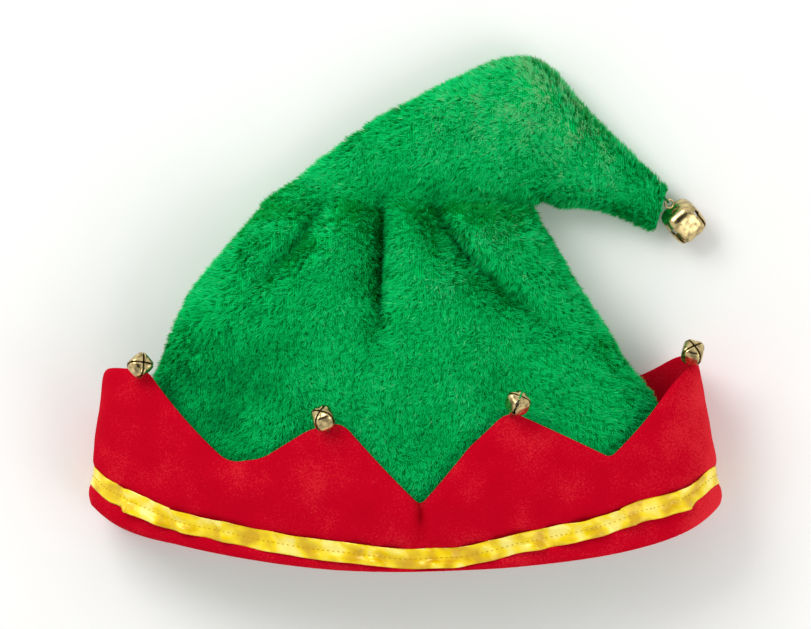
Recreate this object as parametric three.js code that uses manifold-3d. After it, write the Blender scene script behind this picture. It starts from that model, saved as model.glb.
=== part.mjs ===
// A plush elf hat with a pointed velour cuff, a satin ribbon and jingle bells, lying on its back.
// Millimetres. +Z is up, +Y runs from the mouth to the crown's shoulder, +X is the side that the tail
// falls to.

import * as THREE from "three";
import { LoftGeometry } from "three/addons/geometries/LoftGeometry.js";
import { mergeVertices } from "three/addons/utils/BufferGeometryUtils.js";
import Module from "manifold-3d";

// Crown and tail
const crownHalfWidth = 154.5;
const crownRun = 154.75;
const crownDepth = 76;
const rimBow = 27;
const backRimBow = 20;
const tailReach = 66;
const tailRise = 74.5;
const plushWall = 4;

// Cuff
const cuffWall = 3.5;
const pointRun = 76;
const valleyRun = 44;
const leftTaper = 8;
const rightTaper = 12.5;
const cuffStandOff = 1.5;
const hemRoll = 7;
const hemStrip = 7;
const lipRound = 2.1;

// Ribbon
const ribbonWidth = 10;
const ribbonThickness = 0.9;
const longSway = 0.6;
const shortSway = 0.4;

// Bells
const pointBellDiameter = 12.5;
const tipBellDiameter = 21;
const bellWall = 0.6;
const bellSlot = 1;
const tipBellSlot = 1.5;
const pointLoopDiameter = 3.6;
const tipLoopDiameter = 5.4;
const wireDiameter = 1;
const tipPucker = 4;
const pelletDiameter = 3.6;
const tipPelletDiameter = 6;

// Gap between pieces that touch, and the extra slack of the cuff where it turns over at the folds
const clearance = 0.3;
const foldSlack = 1;

// Numbers of faces
const crownTopSteps = 32;
const crownBackSteps = 12;
const gatherSteps = 12;
const toothSteps = [0, 0.12, 0.5, 0.88];
const shortSteps = [0, 0.5];
const middleSteps = [0, 0.15, 0.85];
const foldSteps = [0, 0.15, 0.4, 0.65, 0.9];
const shortSpan = 0.03;
const middleSpan = 0.05;
const bellSides = 12;
const bellBands = 5;
const hollowSides = 8;
const hollowBands = 4;
const holeSides = 6;
const pelletSides = 10;
const pelletBands = 4;
const loopSides = 8;
const wireSides = 5;

// The crown's sections from the rim to the shoulder, one row each: run in crownRun, left and right in
// crownHalfWidth, top in crownDepth, bow in rimBow
const crownRows = [
  { run: 0, left: 1, right: 1, top: 0.82, bow: 1 },
  { run: 0.06, left: 0.99, right: 0.985, top: 0.86, bow: 1 },
  { run: 0.208, left: 0.932, right: 0.925, top: 0.94, bow: 0.9 },
  { run: 0.338, left: 0.867, right: 0.825, top: 0.98, bow: 0.78 },
  { run: 0.467, left: 0.802, right: 0.728, top: 1, bow: 0.62 },
  { run: 0.596, left: 0.753, right: 0.65, top: 1, bow: 0.44 },
  { run: 0.693, left: 0.708, right: 0.584, top: 0.98, bow: 0.3 },
  { run: 0.79, left: 0.636, right: 0.526, top: 0.94, bow: 0.17 },
  { run: 0.871, left: 0.565, right: 0.48, top: 0.89, bow: 0.07 },
  { run: 0.935, left: 0.51, right: 0.442, top: 0.8, bow: 0 },
  { run: 0.975, left: 0.476, right: 0.424, top: 0.66, bow: 0 },
];

// The tail's sections from the shoulder to the tip, one row each, measured from the shoulder's right end:
// outer and inner end across in tailReach and up in tailRise, top in crownDepth
const tailRows = [
  { outerAcross: -2.06, outerUp: 0.02, innerAcross: -0.04, innerUp: -0.02, top: 0.52 },
  { outerAcross: -1.83, outerUp: 0.16, innerAcross: -0.005, innerUp: 0.01, top: 0.43 },
  { outerAcross: -1.56, outerUp: 0.36, innerAcross: 0.025, innerUp: 0.028, top: 0.46 },
  { outerAcross: -1.24, outerUp: 0.56, innerAcross: 0.052, innerUp: 0.034, top: 0.49 },
  { outerAcross: -0.91, outerUp: 0.72, innerAcross: 0.082, innerUp: 0.03, top: 0.49 },
  { outerAcross: -0.6, outerUp: 0.86, innerAcross: 0.112, innerUp: 0.014, top: 0.48 },
  { outerAcross: -0.34, outerUp: 0.96, innerAcross: 0.145, innerUp: -0.006, top: 0.47 },
  { outerAcross: -0.12, outerUp: 1, innerAcross: 0.185, innerUp: -0.024, top: 0.455 },
  { outerAcross: 0.075, outerUp: 0.93, innerAcross: 0.245, innerUp: -0.027, top: 0.44 },
  { outerAcross: 0.245, outerUp: 0.76, innerAcross: 0.325, innerUp: -0.024, top: 0.415 },
  { outerAcross: 0.42, outerUp: 0.59, innerAcross: 0.435, innerUp: -0.036, top: 0.385 },
  { outerAcross: 0.61, outerUp: 0.43, innerAcross: 0.555, innerUp: -0.062, top: 0.355 },
  { outerAcross: 0.775, outerUp: 0.29, innerAcross: 0.68, innerUp: -0.106, top: 0.325 },
  { outerAcross: 0.905, outerUp: 0.185, innerAcross: 0.8, innerUp: -0.155, top: 0.295 },
  { outerAcross: 0.984, outerUp: 0.108, innerAcross: 0.892, innerUp: -0.193, top: 0.25 },
];

// The gathers that run down from the shoulder: three points of each valley, across in crownHalfWidth and
// run in crownRun, then its depth and half width in crownDepth
const gathers = [
  { from: [-0.26, 1], by: [-0.31, 0.86], to: [-0.52, 0.72], depth: 0.12, spread: 0.1 },
  { from: [-0.065, 1.02], by: [-0.07, 0.85], to: [-0.075, 0.6], depth: 0.25, spread: 0.11 },
  { from: [0.105, 1.02], by: [0.1, 0.84], to: [0.52, 0.6], depth: 0.2, spread: 0.11 },
];

// The cuff's edge, one row for each corner of a point and each valley: turn as a share of the way round
// from the left fold over the front, rise in pointRun or valleyRun, blunt as the rounding's half width
// in turns
const cuffTeeth = [
  { point: true, turn: 0, rise: 0.945, blunt: 0.012 },
  { point: true, turn: 0.082, rise: 1.028, blunt: 0.005 },
  { point: false, turn: 0.151, rise: 0.98, blunt: 0.006 },
  { point: false, turn: 0.172, rise: 1.1, blunt: 0.004 },
  { point: true, turn: 0.199, rise: 0.875, blunt: 0.004 },
  { point: true, turn: 0.2175, rise: 0.945, blunt: 0.004 },
  { point: false, turn: 0.2585, rise: 0.725, blunt: 0.002 },
  { point: false, turn: 0.286, rise: 1.345, blunt: 0.002 },
  { point: true, turn: 0.3095, rise: 0.99, blunt: 0.006 },
  { point: false, turn: 0.3705, rise: 0.955, blunt: 0.003 },
  { point: true, turn: 0.433, rise: 0.905, blunt: 0.01 },
  { point: true, turn: 0.477, rise: 1.015, blunt: 0.01 },
  { point: true, turn: 0.553, rise: 1.075, blunt: 0.012 },
  { point: true, turn: 0.606, rise: 0.99, blunt: 0.006 },
  { point: false, turn: 0.655, rise: 1, blunt: 0.006 },
  { point: true, turn: 0.6975, rise: 0.98, blunt: 0.006 },
  { point: false, turn: 0.7375, rise: 1, blunt: 0.006 },
  { point: true, turn: 0.78, rise: 0.98, blunt: 0.006 },
  { point: false, turn: 0.8225, rise: 1, blunt: 0.006 },
  { point: true, turn: 0.87, rise: 0.98, blunt: 0.008 },
  { point: false, turn: 0.9275, rise: 1, blunt: 0.008 },
];

// The hem round the rim, by turn: how far the roll is tucked under the rim instead of standing below it,
// and the strip from the rim up to the ribbon in hemStrip
const hemRows = [
  { turn: 0, tuck: 0, strip: 0.9 },
  { turn: 0.08, tuck: 0.35, strip: 0.75 },
  { turn: 0.15, tuck: 0.5, strip: 0.55 },
  { turn: 0.21, tuck: 0.7, strip: 0.25 },
  { turn: 0.258, tuck: 1, strip: -0.12 },
  { turn: 0.31, tuck: 0.5, strip: 0.4 },
  { turn: 0.36, tuck: 0.1, strip: 0.85 },
  { turn: 0.42, tuck: 0, strip: 1 },
  { turn: 0.5, tuck: 0, strip: 1 },
  { turn: 0.9, tuck: 0, strip: 1 },
  { turn: 1, tuck: 0, strip: 0.9 },
];

// The roll's outline from the rim's inner corner to the cuff's outer face, standing and tucked: run in
// hemRoll, and out in hemRoll from the plush's outer face
const hemOutline = [
  { run: -0.5, out: -0.68, tuckedRun: 0.55, tuckedOut: -0.68 },
  { run: -0.88, out: -0.36, tuckedRun: 0.6, tuckedOut: -1.35 },
  { run: -1, out: 0, tuckedRun: 0, tuckedOut: -1.5 },
  { run: -0.88, out: 0.36, tuckedRun: -0.28, tuckedOut: -0.3 },
  { run: -0.4, out: 0.53, tuckedRun: -0.26, tuckedOut: 0.34 },
];

// Where each point bell is sewn on: its turn, how far below the edge in pointRun, and out from the
// cuff's inner face in cuffWall. Then its pose in degrees: heading in plan from +Y towards +X, climb
// above the floor, roll
const bellSeats = [
  { turn: 0.0725, drop: 0.012, out: 1.25, heading: 50, climb: 64, roll: -50 },
  { turn: 0.2105, drop: 0.045, out: 1.14, heading: -22, climb: 42, roll: 22 },
  { turn: 0.3105, drop: 0.02, out: 1.14, heading: 22, climb: 42, roll: 23 },
  { turn: 0.47, drop: 0, out: 0.5, heading: 14, climb: 50, roll: -14 },
  { turn: 0.6975, drop: 0, out: 0.5, heading: 0, climb: 30, roll: 45 },
  { turn: 0.78, drop: 0, out: 0.5, heading: 0, climb: 30, roll: 45 },
  { turn: 0.87, drop: 0, out: 0.5, heading: 0, climb: 30, roll: 45 },
];

// The tip bell: its middle across and up from the middle of the tail's end in tipBellDiameter, and its
// pose
const tipBellSeat = { across: 0.5450714, up: -0.2359167, heading: 140, climb: -25, roll: -140 };

// Shares that shape the soft forms
const foldShare = 0.4;
const topFullness = 0.86;
const backFlat = 0.72;
const bowPower = 1.8;
const cornerPower = 14;
const cornerLift = 9;
const backRound = 0.8;
const dentRound = 0.5;
const shoulderSoft = 0.4;
const shoulderFrom = 0.93;
const tailGathered = 0.25;
const tailFade = 5;
const petalPower = 3;
const slotTopShare = 0.2;
const holeShare = 1.1;
const loopSink = 0.9;

// Runs in pointRun between which the crown's back comes down to the floor, and reach of the hollows over
// the back bells in pointBellDiameter
const backDrop = [1.08, 1.35];
const hollowReach = [1.5, 3.2];
const hollowPlace = 0.7;

// Play of the pellets and room over the back bells, in clearances
const pelletPlay = 3;
const tipPelletPlay = 6;
const backBellRoom = 6;

// Seats and levels that follow from the sizes
const rimY = (rimBow - crownRun - tailRise) / 2;
const crownLift = cuffWall + clearance;
const shoulderRight = new THREE.Vector2(crownHalfWidth * 0.427, rimY + crownRun);
const grooveDepth = ribbonThickness + 2 * clearance;
const backBellHeight = pointBellDiameter + backBellRoom * clearance;

// A smooth reading of one column of a table between its rows
function readTable(rows, key, at, column) {
  const last = rows.length - 1;
  const found = rows.findIndex((row) => row[key] > at);
  const i = found < 0 ? last - 1 : Math.max(0, found - 1);
  const [a, b] = [rows[i], rows[i + 1]];
  const before = rows[Math.max(0, i - 1)];
  const after = rows[Math.min(last, i + 2)];
  const step = b[key] - a[key];
  const u = THREE.MathUtils.clamp((at - a[key]) / step, 0, 1);
  const slopeA = ((b[column] - before[column]) / (b[key] - before[key])) * step;
  const slopeB = ((after[column] - a[column]) / (after[key] - a[key])) * step;
  const rise = b[column] - a[column];
  return a[column] + u * (slopeA + u * (3 * rise - 2 * slopeA - slopeB + u * (slopeA + slopeB - 2 * rise)));
}

// A flattened ring across the crown at a run from the rim
function crownRing(run) {
  const read = (column) => readTable(crownRows, "run", run / crownRun, column);
  const y = rimY + run;
  return {
    left: new THREE.Vector2(-crownHalfWidth * read("left"), y),
    right: new THREE.Vector2(crownHalfWidth * read("right"), y),
    top: crownDepth * read("top"),
    bow: rimBow * read("bow"),
    corner: cornerLift * Math.max(0, 1 - run / pointRun),
    gathered: 1 - shoulderSoft * THREE.MathUtils.smoothstep(run / crownRun, shoulderFrom, 1),
    lift: crownLift * (1 - THREE.MathUtils.smoothstep(run / pointRun, ...backDrop)),
  };
}

// The cuff's own ring: it keeps the rim's ring up to the ribbon, then stands off the crown as the crown
// narrows
function cuffRing(run) {
  const ring = crownRing(run);
  const free = Math.max(0, run - hemStrip);
  const flare = THREE.MathUtils.smoothstep(free, 0, ribbonWidth);
  const half = crownRing(hemStrip).right.x;
  ring.left.x = THREE.MathUtils.lerp(ring.left.x, (leftTaper * free) / pointRun - half, flare);
  ring.right.x = THREE.MathUtils.lerp(ring.right.x, half - (rightTaper * free) / pointRun, flare);
  ring.top += cuffStandOff * flare;
  ring.bow = rimBow;
  ring.lift = crownLift;
  return ring;
}

// A ring across the tail, with u from 0 at the shoulder to 1 at the tip
function tailRing(u) {
  const rows = tailRows.map((row, i) => ({ ...row, u: i / (tailRows.length - 1) }));
  const read = (column) => readTable(rows, "u", u, column);
  const end = (side) =>
    new THREE.Vector2(read(side + "Across") * tailReach, read(side + "Up") * tailRise).add(shoulderRight);
  return {
    left: end("outer"),
    right: end("inner"),
    top: crownDepth * read("top"),
    bow: 0,
    corner: 0,
    gathered: Math.max(0, tailGathered - tailFade * u),
    lift: 0,
  };
}

// Depth of the gathers below the puffed crown at a place in plan
function gatherDepth(x, y) {
  const place = ([across, run]) => new THREE.Vector2(across * crownHalfWidth, rimY + run * crownRun);
  return gathers.reduce((sum, gather) => {
    const curve = new THREE.QuadraticBezierCurve(place(gather.from), place(gather.by), place(gather.to));
    const steps = curve.getPoints(gatherSteps);
    const gaps = steps.map((step) => step.distanceTo({ x, y }));
    const near = gaps.indexOf(Math.min(...gaps));
    const fade = 1 - (near / gatherSteps) ** 2;
    const spread = gather.spread * crownDepth;
    return sum + gather.depth * crownDepth * fade * Math.exp(-((gaps[near] / spread) ** 2));
  }, 0);
}

// Height of the hollows that the bells under the back press into the crown, at a place in plan
function bellHollow(x, y) {
  const heights = backBellPlaces.map((place) => {
    const gap = Math.hypot(place.x - x, place.y - y) / pointBellDiameter;
    return backBellHeight * (1 - THREE.MathUtils.smoothstep(gap, ...hollowReach));
  });
  return Math.max(0, ...heights);
}

// A point of a flattened ring: turn 0 at the left fold, 0.25 on top, 0.5 at the right fold, 0.75
// underneath. "out" is the offset from the plush's outer face, and the crown's own rings are dented by
// gathers and bells.
function ringPoint(ring, turn, out, dented = false) {
  const angle = 2 * Math.PI * turn;
  const across = -Math.cos(angle);
  const rise = Math.sin(angle);
  const side = ring.right.clone().sub(ring.left).normalize().multiplyScalar(out);
  const left = ring.left.clone().sub(side);
  const right = ring.right.clone().add(side);
  const place = left.lerp(right, (across + 1) / 2);
  const under = THREE.MathUtils.smoothstep(-rise, 0, 1);
  const bow = ring.bow * THREE.MathUtils.lerp(1, backRimBow / rimBow, under);
  place.y -= bow * (1 - Math.abs(across) ** bowPower);
  place.y += ring.corner * Math.abs(across) ** cornerPower;
  const fold = ring.lift + foldShare * (ring.top - ring.lift);
  if (rise >= 0) {
    const crest = ring.top + out - fold;
    const dent = dented ? ring.gathered * gatherDepth(place.x, place.y) * rise ** dentRound : 0;
    return new THREE.Vector3(place.x, place.y, fold + crest * rise ** topFullness - dent);
  }
  const sink = Math.sin((Math.PI / 2) * Math.min(1, -rise / backFlat)) ** backRound;
  const bottom = Math.max(ring.lift, dented ? bellHollow(place.x, place.y) : 0) - out;
  return new THREE.Vector3(place.x, place.y, THREE.MathUtils.lerp(fold, bottom, sink));
}

// Run of the cuff's edge at a turn
function edgeRun(turn) {
  const count = cuffTeeth.length;
  const rows = [-1, 0, 1].flatMap((lap) => cuffTeeth.map((row) => ({ ...row, turn: row.turn + lap })));
  const zigzag = (at) => {
    const i = rows.findIndex((row) => row.turn > at);
    const [a, b] = [rows[i - 1], rows[i]];
    const run = (row) => row.rise * (row.point ? pointRun : valleyRun);
    return THREE.MathUtils.mapLinear(at, a.turn, b.turn, run(a), run(b));
  };
  const i = rows.findIndex((row) => row.turn > turn);
  const near = turn - rows[i - 1].turn < rows[i].turn - turn ? rows[i - 1] : rows[i];
  const spots = [-1, -0.5, 0, 0.5, 1].map((share) => zigzag(turn + share * near.blunt));
  return spots.reduce((sum, run) => sum + run, 0) / spots.length;
}

// Shares of the span between two rows of the cuff's edge that get columns of their own
function spanSteps(row, next, span) {
  if ((row.turn < 0.5) !== (next.turn < 0.5)) return foldSteps;
  if (span < shortSpan) return shortSteps;
  return span < middleSpan ? middleSteps : toothSteps;
}

// Turns of the cuff's columns, closer beside each point and valley
function cuffTurns() {
  return cuffTeeth.flatMap((row, i) => {
    const next = cuffTeeth[(i + 1) % cuffTeeth.length];
    const span = (next.turn - row.turn + 1) % 1;
    return spanSteps(row, next, span).map((share) => (row.turn + share * span) % 1);
  });
}

// Offset of the cuff's inner face
function cuffInside(turn) {
  const beyond = Math.max(0, Math.abs(Math.cos(2 * Math.PI * turn)) - backFlat);
  return clearance + foldSlack * (beyond / (1 - backFlat)) ** 2;
}

// Run of the ribbon's lower edge
function ribbonLow(turn) {
  const sway = longSway * Math.sin(10 * Math.PI * turn) + shortSway * Math.sin(26 * Math.PI * turn + 1);
  return hemStrip * readTable(hemRows, "turn", turn, "strip") + sway;
}

// The cuff's closed profile at a turn, as [run, out] pairs
function cuffProfile(turn) {
  const inside = cuffInside(turn);
  const outside = inside + cuffWall;
  const edge = edgeRun(turn);
  const low = ribbonLow(turn) - clearance;
  const high = low + ribbonWidth + 2 * clearance;
  const belly = Math.max(0, Math.sin(2 * Math.PI * turn));
  const tuck = readTable(hemRows, "turn", turn, "tuck");
  const roll = hemOutline.map((row) => [
    hemRoll * THREE.MathUtils.lerp(row.run, row.tuckedRun, tuck),
    hemRoll * THREE.MathUtils.lerp(row.out, row.tuckedOut, tuck),
  ]);
  return [
    [edge, inside + cuffWall / 2],
    [edge - lipRound, inside],
    [(edge + high) / 2, inside],
    [high, inside],
    [hemStrip, inside],
    [clearance - 2 * inside, inside],
    [clearance - 2 * inside, -plushWall - 2 * clearance],
    ...roll,
    [low - grooveDepth / 2, outside],
    [low, outside - grooveDepth],
    [high, outside - grooveDepth],
    [high + grooveDepth / 2, outside],
    [(edge + high) / 2, outside + belly],
    [edge - lipRound, outside],
  ];
}

function ribbonProfile(turn) {
  const low = ribbonLow(turn);
  const seat = cuffInside(turn) + cuffWall - grooveDepth + clearance;
  return [
    [low, seat],
    [low, seat + ribbonThickness],
    [low + ribbonWidth, seat + ribbonThickness],
    [low + ribbonWidth, seat],
  ];
}

// A closed body from rings of points: either a loop of rings, or a row of rings whose ends are drawn
// shut to a point
function loftBody(sections) {
  return welded(new LoftGeometry(sections, { closed: true, capStart: false, capEnd: false }));
}

// A ring drawn shut to its middle, moved along the hat's tail
function drawnShut(ring, shift) {
  const middle = ring.reduce((sum, point) => sum.add(point), new THREE.Vector3()).divideScalar(ring.length);
  middle.add(shift);
  return ring.map(() => middle);
}

// One body with shared corners, without the faces that welding leaves empty
function welded(source) {
  const bare = new THREE.BufferGeometry();
  bare.setAttribute("position", source.attributes.position.clone());
  bare.setIndex(source.index);
  const merged = mergeVertices(bare, 1e-3);
  const corners = merged.index.array;
  const kept = [];
  for (let i = 0; i < corners.length; i += 3) {
    const [a, b, c] = corners.slice(i, i + 3);
    if (a !== b && b !== c && c !== a) kept.push(a, b, c);
  }
  merged.setIndex(kept);
  return merged;
}

function crownBody() {
  const turns = [];
  for (let i = 0; i < crownTopSteps; i++) turns.push((0.5 * i) / crownTopSteps);
  for (let i = 0; i < crownBackSteps; i++) turns.push(0.5 + (0.5 * i) / crownBackSteps);
  const ringOf = (out) => (share) =>
    turns.map((turn) => ringPoint(crownRing(share * crownRun), turn, out, true));
  const tailOf = (out) => (u) => turns.map((turn) => ringPoint(tailRing(u), turn, out, true));
  const between = (rows) => rows.flatMap((row, i) => (i ? [(rows[i - 1] + row) / 2, row] : [row]));
  const outerRuns = between(crownRows.map((row) => row.run));
  const innerRuns = crownRows.map((row) => row.run).filter((run, i) => i % 2 === 0);
  const tailCount = tailRows.length - 1;
  const outerTail = tailRows.map((row, i) => i / tailCount);
  const innerTail = outerTail.filter((u, i) => i % 2 === 0 && i < tailCount);
  const innerTailRings = innerTail.reverse().map(tailOf(-plushWall));
  const inner = [...innerTailRings, ...innerRuns.reverse().map(ringOf(-plushWall))];
  const outer = [...outerRuns.map(ringOf(0)), ...outerTail.map(tailOf(0))];
  const innerEnd = drawnShut(inner[0], new THREE.Vector3());
  const outerEnd = drawnShut(outer.at(-1), tailDirection().multiplyScalar(-tipPucker));
  return loftBody([innerEnd, ...inner, ...outer, outerEnd]);
}

// Direction of the tail at its tip
function tailDirection() {
  const [before, end] = [tailRing(1 - 1 / tailRows.length), tailRing(1)];
  const heading = end.left.add(end.right).sub(before.left).sub(before.right).normalize();
  return new THREE.Vector3(heading.x, heading.y, 0);
}

function bandBody(profileAt) {
  const rings = cuffTurns().map((turn) =>
    profileAt(turn).map(([run, out]) => ringPoint(cuffRing(run), turn, out)),
  );
  rings.reverse();
  return loftBody([...rings, rings[0]]);
}

const wasm = await Module();
wasm.setup();

function toSolid(geometry) {
  const body = welded(geometry);
  const vertProperties = new Float32Array(body.attributes.position.array);
  const triVerts = new Uint32Array(body.index.array);
  return new wasm.Manifold(new wasm.Mesh({ numProp: 3, vertProperties, triVerts }));
}

function toGeometry(solid) {
  const mesh = solid.getMesh();
  const geometry = new THREE.BufferGeometry();
  geometry.setAttribute("position", new THREE.BufferAttribute(mesh.vertProperties, 3));
  geometry.setIndex(new THREE.BufferAttribute(mesh.triVerts, 1));
  geometry.computeVertexNormals();
  return geometry;
}

// A ball pressed towards four flat petals, with its poles on Z
function petalBall(diameter, sides, bands) {
  const ball = new THREE.SphereGeometry(diameter / 2, sides, bands).rotateX(Math.PI / 2);
  const corners = ball.attributes.position;
  for (let i = 0; i < corners.count; i++) {
    const [x, y] = [corners.getX(i), corners.getY(i)];
    const round = Math.hypot(x, y);
    const square = (Math.abs(x) ** petalPower + Math.abs(y) ** petalPower) ** (1 / petalPower);
    if (round > 1e-6) corners.setXY(i, (x * round) / square, (y * round) / square);
  }
  const reach = ball.clone().rotateZ(Math.PI / 4);
  reach.computeBoundingBox();
  const shrink = diameter / 2 / reach.boundingBox.max.x;
  return ball.scale(shrink, shrink, 1);
}

// A pressed bell: hollow, slotted crosswise over its lower half between the petals, its wire loop on top
// at +Z
function bellBody(diameter, slot, loop) {
  const radius = diameter / 2;
  const shell = toSolid(petalBall(diameter, bellSides, bellBands));
  const hollow = toSolid(petalBall(diameter - 2 * bellWall, hollowSides, hollowBands));
  const slotTop = radius * slotTopShare;
  const holeRadius = slot * holeShare;
  const blade = new THREE.BoxGeometry(slot, 2 * diameter, diameter).translate(0, 0, slotTop - radius);
  const hole = new THREE.CylinderGeometry(holeRadius, holeRadius, 2 * diameter, holeSides);
  hole.translate(0, 0, slotTop);
  const cuts = [Math.PI / 4, -Math.PI / 4].flatMap((angle) =>
    [blade, hole].map((shape) => toSolid(shape.clone().rotateZ(angle))),
  );
  const ring = new THREE.TorusGeometry((loop - wireDiameter) / 2, wireDiameter / 2, wireSides, loopSides)
    .rotateX(Math.PI / 2)
    .translate(0, 0, radius + loop / 2 - wireDiameter * loopSink);
  const slotted = cuts.reduce((solid, cut) => solid.subtract(cut), shell.subtract(hollow));
  return toGeometry(slotted.add(toSolid(ring)));
}

// Turns a bell until its loop looks back along its heading and climb, and returns the way that it points
function turnBell(mesh, seat) {
  const heading = THREE.MathUtils.degToRad(seat.heading);
  const climb = THREE.MathUtils.degToRad(seat.climb);
  const axis = new THREE.Vector3(
    Math.sin(heading) * Math.cos(climb),
    Math.cos(heading) * Math.cos(climb),
    Math.sin(climb),
  );
  mesh.quaternion.setFromUnitVectors(new THREE.Vector3(0, 0, 1), axis.clone().negate());
  mesh.rotateZ(THREE.MathUtils.degToRad(seat.roll));
  return axis;
}

// The place on the cuff that a point bell is sewn to
function seatPoint(seat) {
  const ring = cuffRing(edgeRun(seat.turn) - seat.drop * pointRun);
  return ringPoint(ring, seat.turn, cuffInside(seat.turn) + seat.out * cuffWall);
}

const backBellPlaces = bellSeats
  .filter((seat) => seat.turn > 0.5)
  .map((seat) => seatPoint(seat).add(new THREE.Vector3(0, pointBellDiameter * hollowPlace, 0)));

const plush = new THREE.MeshStandardMaterial({ color: 0x01984a, roughness: 0.95, metalness: 0 });
const velour = new THREE.MeshStandardMaterial({ color: 0xc4061e, roughness: 0.9, metalness: 0 });
const satin = new THREE.MeshStandardMaterial({ color: 0xefd33d, roughness: 0.4, metalness: 0 });
const brass = new THREE.MeshStandardMaterial({ color: 0xb59a62, roughness: 0.25, metalness: 1 });
const steel = new THREE.MeshStandardMaterial({ color: 0x8f8f8f, roughness: 0.35, metalness: 1 });

const hat = new THREE.Group();

function addPiece(name, geometry, material) {
  const mesh = new THREE.Mesh(geometry, material);
  mesh.name = name;
  hat.add(mesh);
  return mesh;
}

addPiece("crown", crownBody(), plush);
addPiece("cuff", bandBody(cuffProfile), velour);
addPiece("ribbon", bandBody(ribbonProfile), satin);

const pointBell = bellBody(pointBellDiameter, bellSlot, pointLoopDiameter);
const pointPellet = new THREE.SphereGeometry(pelletDiameter / 2, pelletSides, pelletBands);
const bellReach = pointBellDiameter / 2 + pointLoopDiameter - wireDiameter * loopSink + clearance;
const pelletRest = pointBellDiameter / 2 - bellWall - pelletDiameter / 2 - pelletPlay * clearance;
bellSeats.forEach((seat, i) => {
  const bell = addPiece("point_bell_" + (i + 1), pointBell, brass);
  bell.position.copy(seatPoint(seat)).addScaledVector(turnBell(bell, seat), bellReach);
  const pellet = addPiece("point_bell_pellet_" + (i + 1), pointPellet, steel);
  pellet.position.copy(bell.position).add(new THREE.Vector3(0, 0, -pelletRest));
});

const tipBell = addPiece("tip_bell", bellBody(tipBellDiameter, tipBellSlot, tipLoopDiameter), brass);
turnBell(tipBell, tipBellSeat);
const tailEnd = tailRing(1);
tipBell.position.set(
  (tailEnd.left.x + tailEnd.right.x) / 2 + tipBellSeat.across * tipBellDiameter,
  (tailEnd.left.y + tailEnd.right.y) / 2 + tipBellSeat.up * tipBellDiameter,
  tipBellDiameter / 2 + clearance,
);
const tipPelletBall = new THREE.SphereGeometry(tipPelletDiameter / 2, pelletSides, pelletBands);
const tipPellet = addPiece("tip_bell_pellet", tipPelletBall, steel);
const tipRest = tipBellDiameter / 2 - bellWall - tipPelletDiameter / 2 - tipPelletPlay * clearance;
tipPellet.position.copy(tipBell.position).add(new THREE.Vector3(0, 0, -tipRest));

hat.updateMatrixWorld(true);
const box = new THREE.Box3().setFromObject(hat, true);
hat.position.set(-(box.min.x + box.max.x) / 2, -(box.min.y + box.max.y) / 2, -box.min.z);
hat.updateMatrixWorld(true);

export default hat;
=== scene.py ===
"""A plush elf hat lying on its back: furry crown and tail, pointed velour cuff, satin ribbon and bells."""

import math

import bmesh
import bpy
import numpy as np
from bpy.props import FloatProperty, FloatVectorProperty, IntProperty, PointerProperty
from mathutils import Matrix, Quaternion, Vector


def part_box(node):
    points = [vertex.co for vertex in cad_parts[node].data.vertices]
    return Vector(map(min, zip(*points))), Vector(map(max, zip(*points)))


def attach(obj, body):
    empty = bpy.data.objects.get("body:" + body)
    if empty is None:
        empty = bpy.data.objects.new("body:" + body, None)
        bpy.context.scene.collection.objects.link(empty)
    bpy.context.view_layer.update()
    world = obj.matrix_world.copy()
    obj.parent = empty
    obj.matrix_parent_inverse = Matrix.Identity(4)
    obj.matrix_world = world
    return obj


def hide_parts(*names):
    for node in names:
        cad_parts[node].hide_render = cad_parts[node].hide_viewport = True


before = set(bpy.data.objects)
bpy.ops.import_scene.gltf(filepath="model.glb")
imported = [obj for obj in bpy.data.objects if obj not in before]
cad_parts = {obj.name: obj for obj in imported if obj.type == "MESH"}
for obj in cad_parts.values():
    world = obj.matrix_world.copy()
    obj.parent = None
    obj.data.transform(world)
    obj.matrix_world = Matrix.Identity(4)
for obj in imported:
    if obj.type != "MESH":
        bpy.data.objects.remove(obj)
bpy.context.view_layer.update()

bl_info = {
    "name": "Elf Hat",
    "version": (1, 0, 0),
    "blender": (4, 5, 0),
    "location": "View3D > Sidebar > Elf Hat",
    "description": "Builds a plush elf hat with a pointed cuff, a ribbon and jingle bells",
    "category": "Add Mesh",
}

MM = 0.001

# Sizes in millimetres, as the hat's solids have them
CROWN_HALF_WIDTH = 154.5
CROWN_RUN = 154.75
CROWN_DEPTH = 76
RIM_BOW = 27
BACK_RIM_BOW = 20
TAIL_REACH = 66
TAIL_RISE = 74.5
PLUSH_WALL = 4
CUFF_WALL = 3.5
POINT_RUN = 76
VALLEY_RUN = 44
LEFT_TAPER = 8
RIGHT_TAPER = 12.5
CUFF_STAND_OFF = 1.5
HEM_ROLL = 7
HEM_STRIP = 7
LIP_ROUND = 2.1
RIBBON_WIDTH = 10
RIBBON_THICKNESS = 0.9
LONG_SWAY = 0.6
SHORT_SWAY = 0.4
POINT_BELL_DIAMETER = 12.5
TIP_BELL_DIAMETER = 21
BELL_WALL = 0.6
BELL_SLOT = 1
TIP_BELL_SLOT = 1.5
POINT_LOOP_DIAMETER = 3.6
TIP_LOOP_DIAMETER = 5.4
WIRE_DIAMETER = 1
TIP_PUCKER = 4
PELLET_DIAMETER = 3.6
TIP_PELLET_DIAMETER = 6
CLEARANCE = 0.3
FOLD_SLACK = 1

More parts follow.
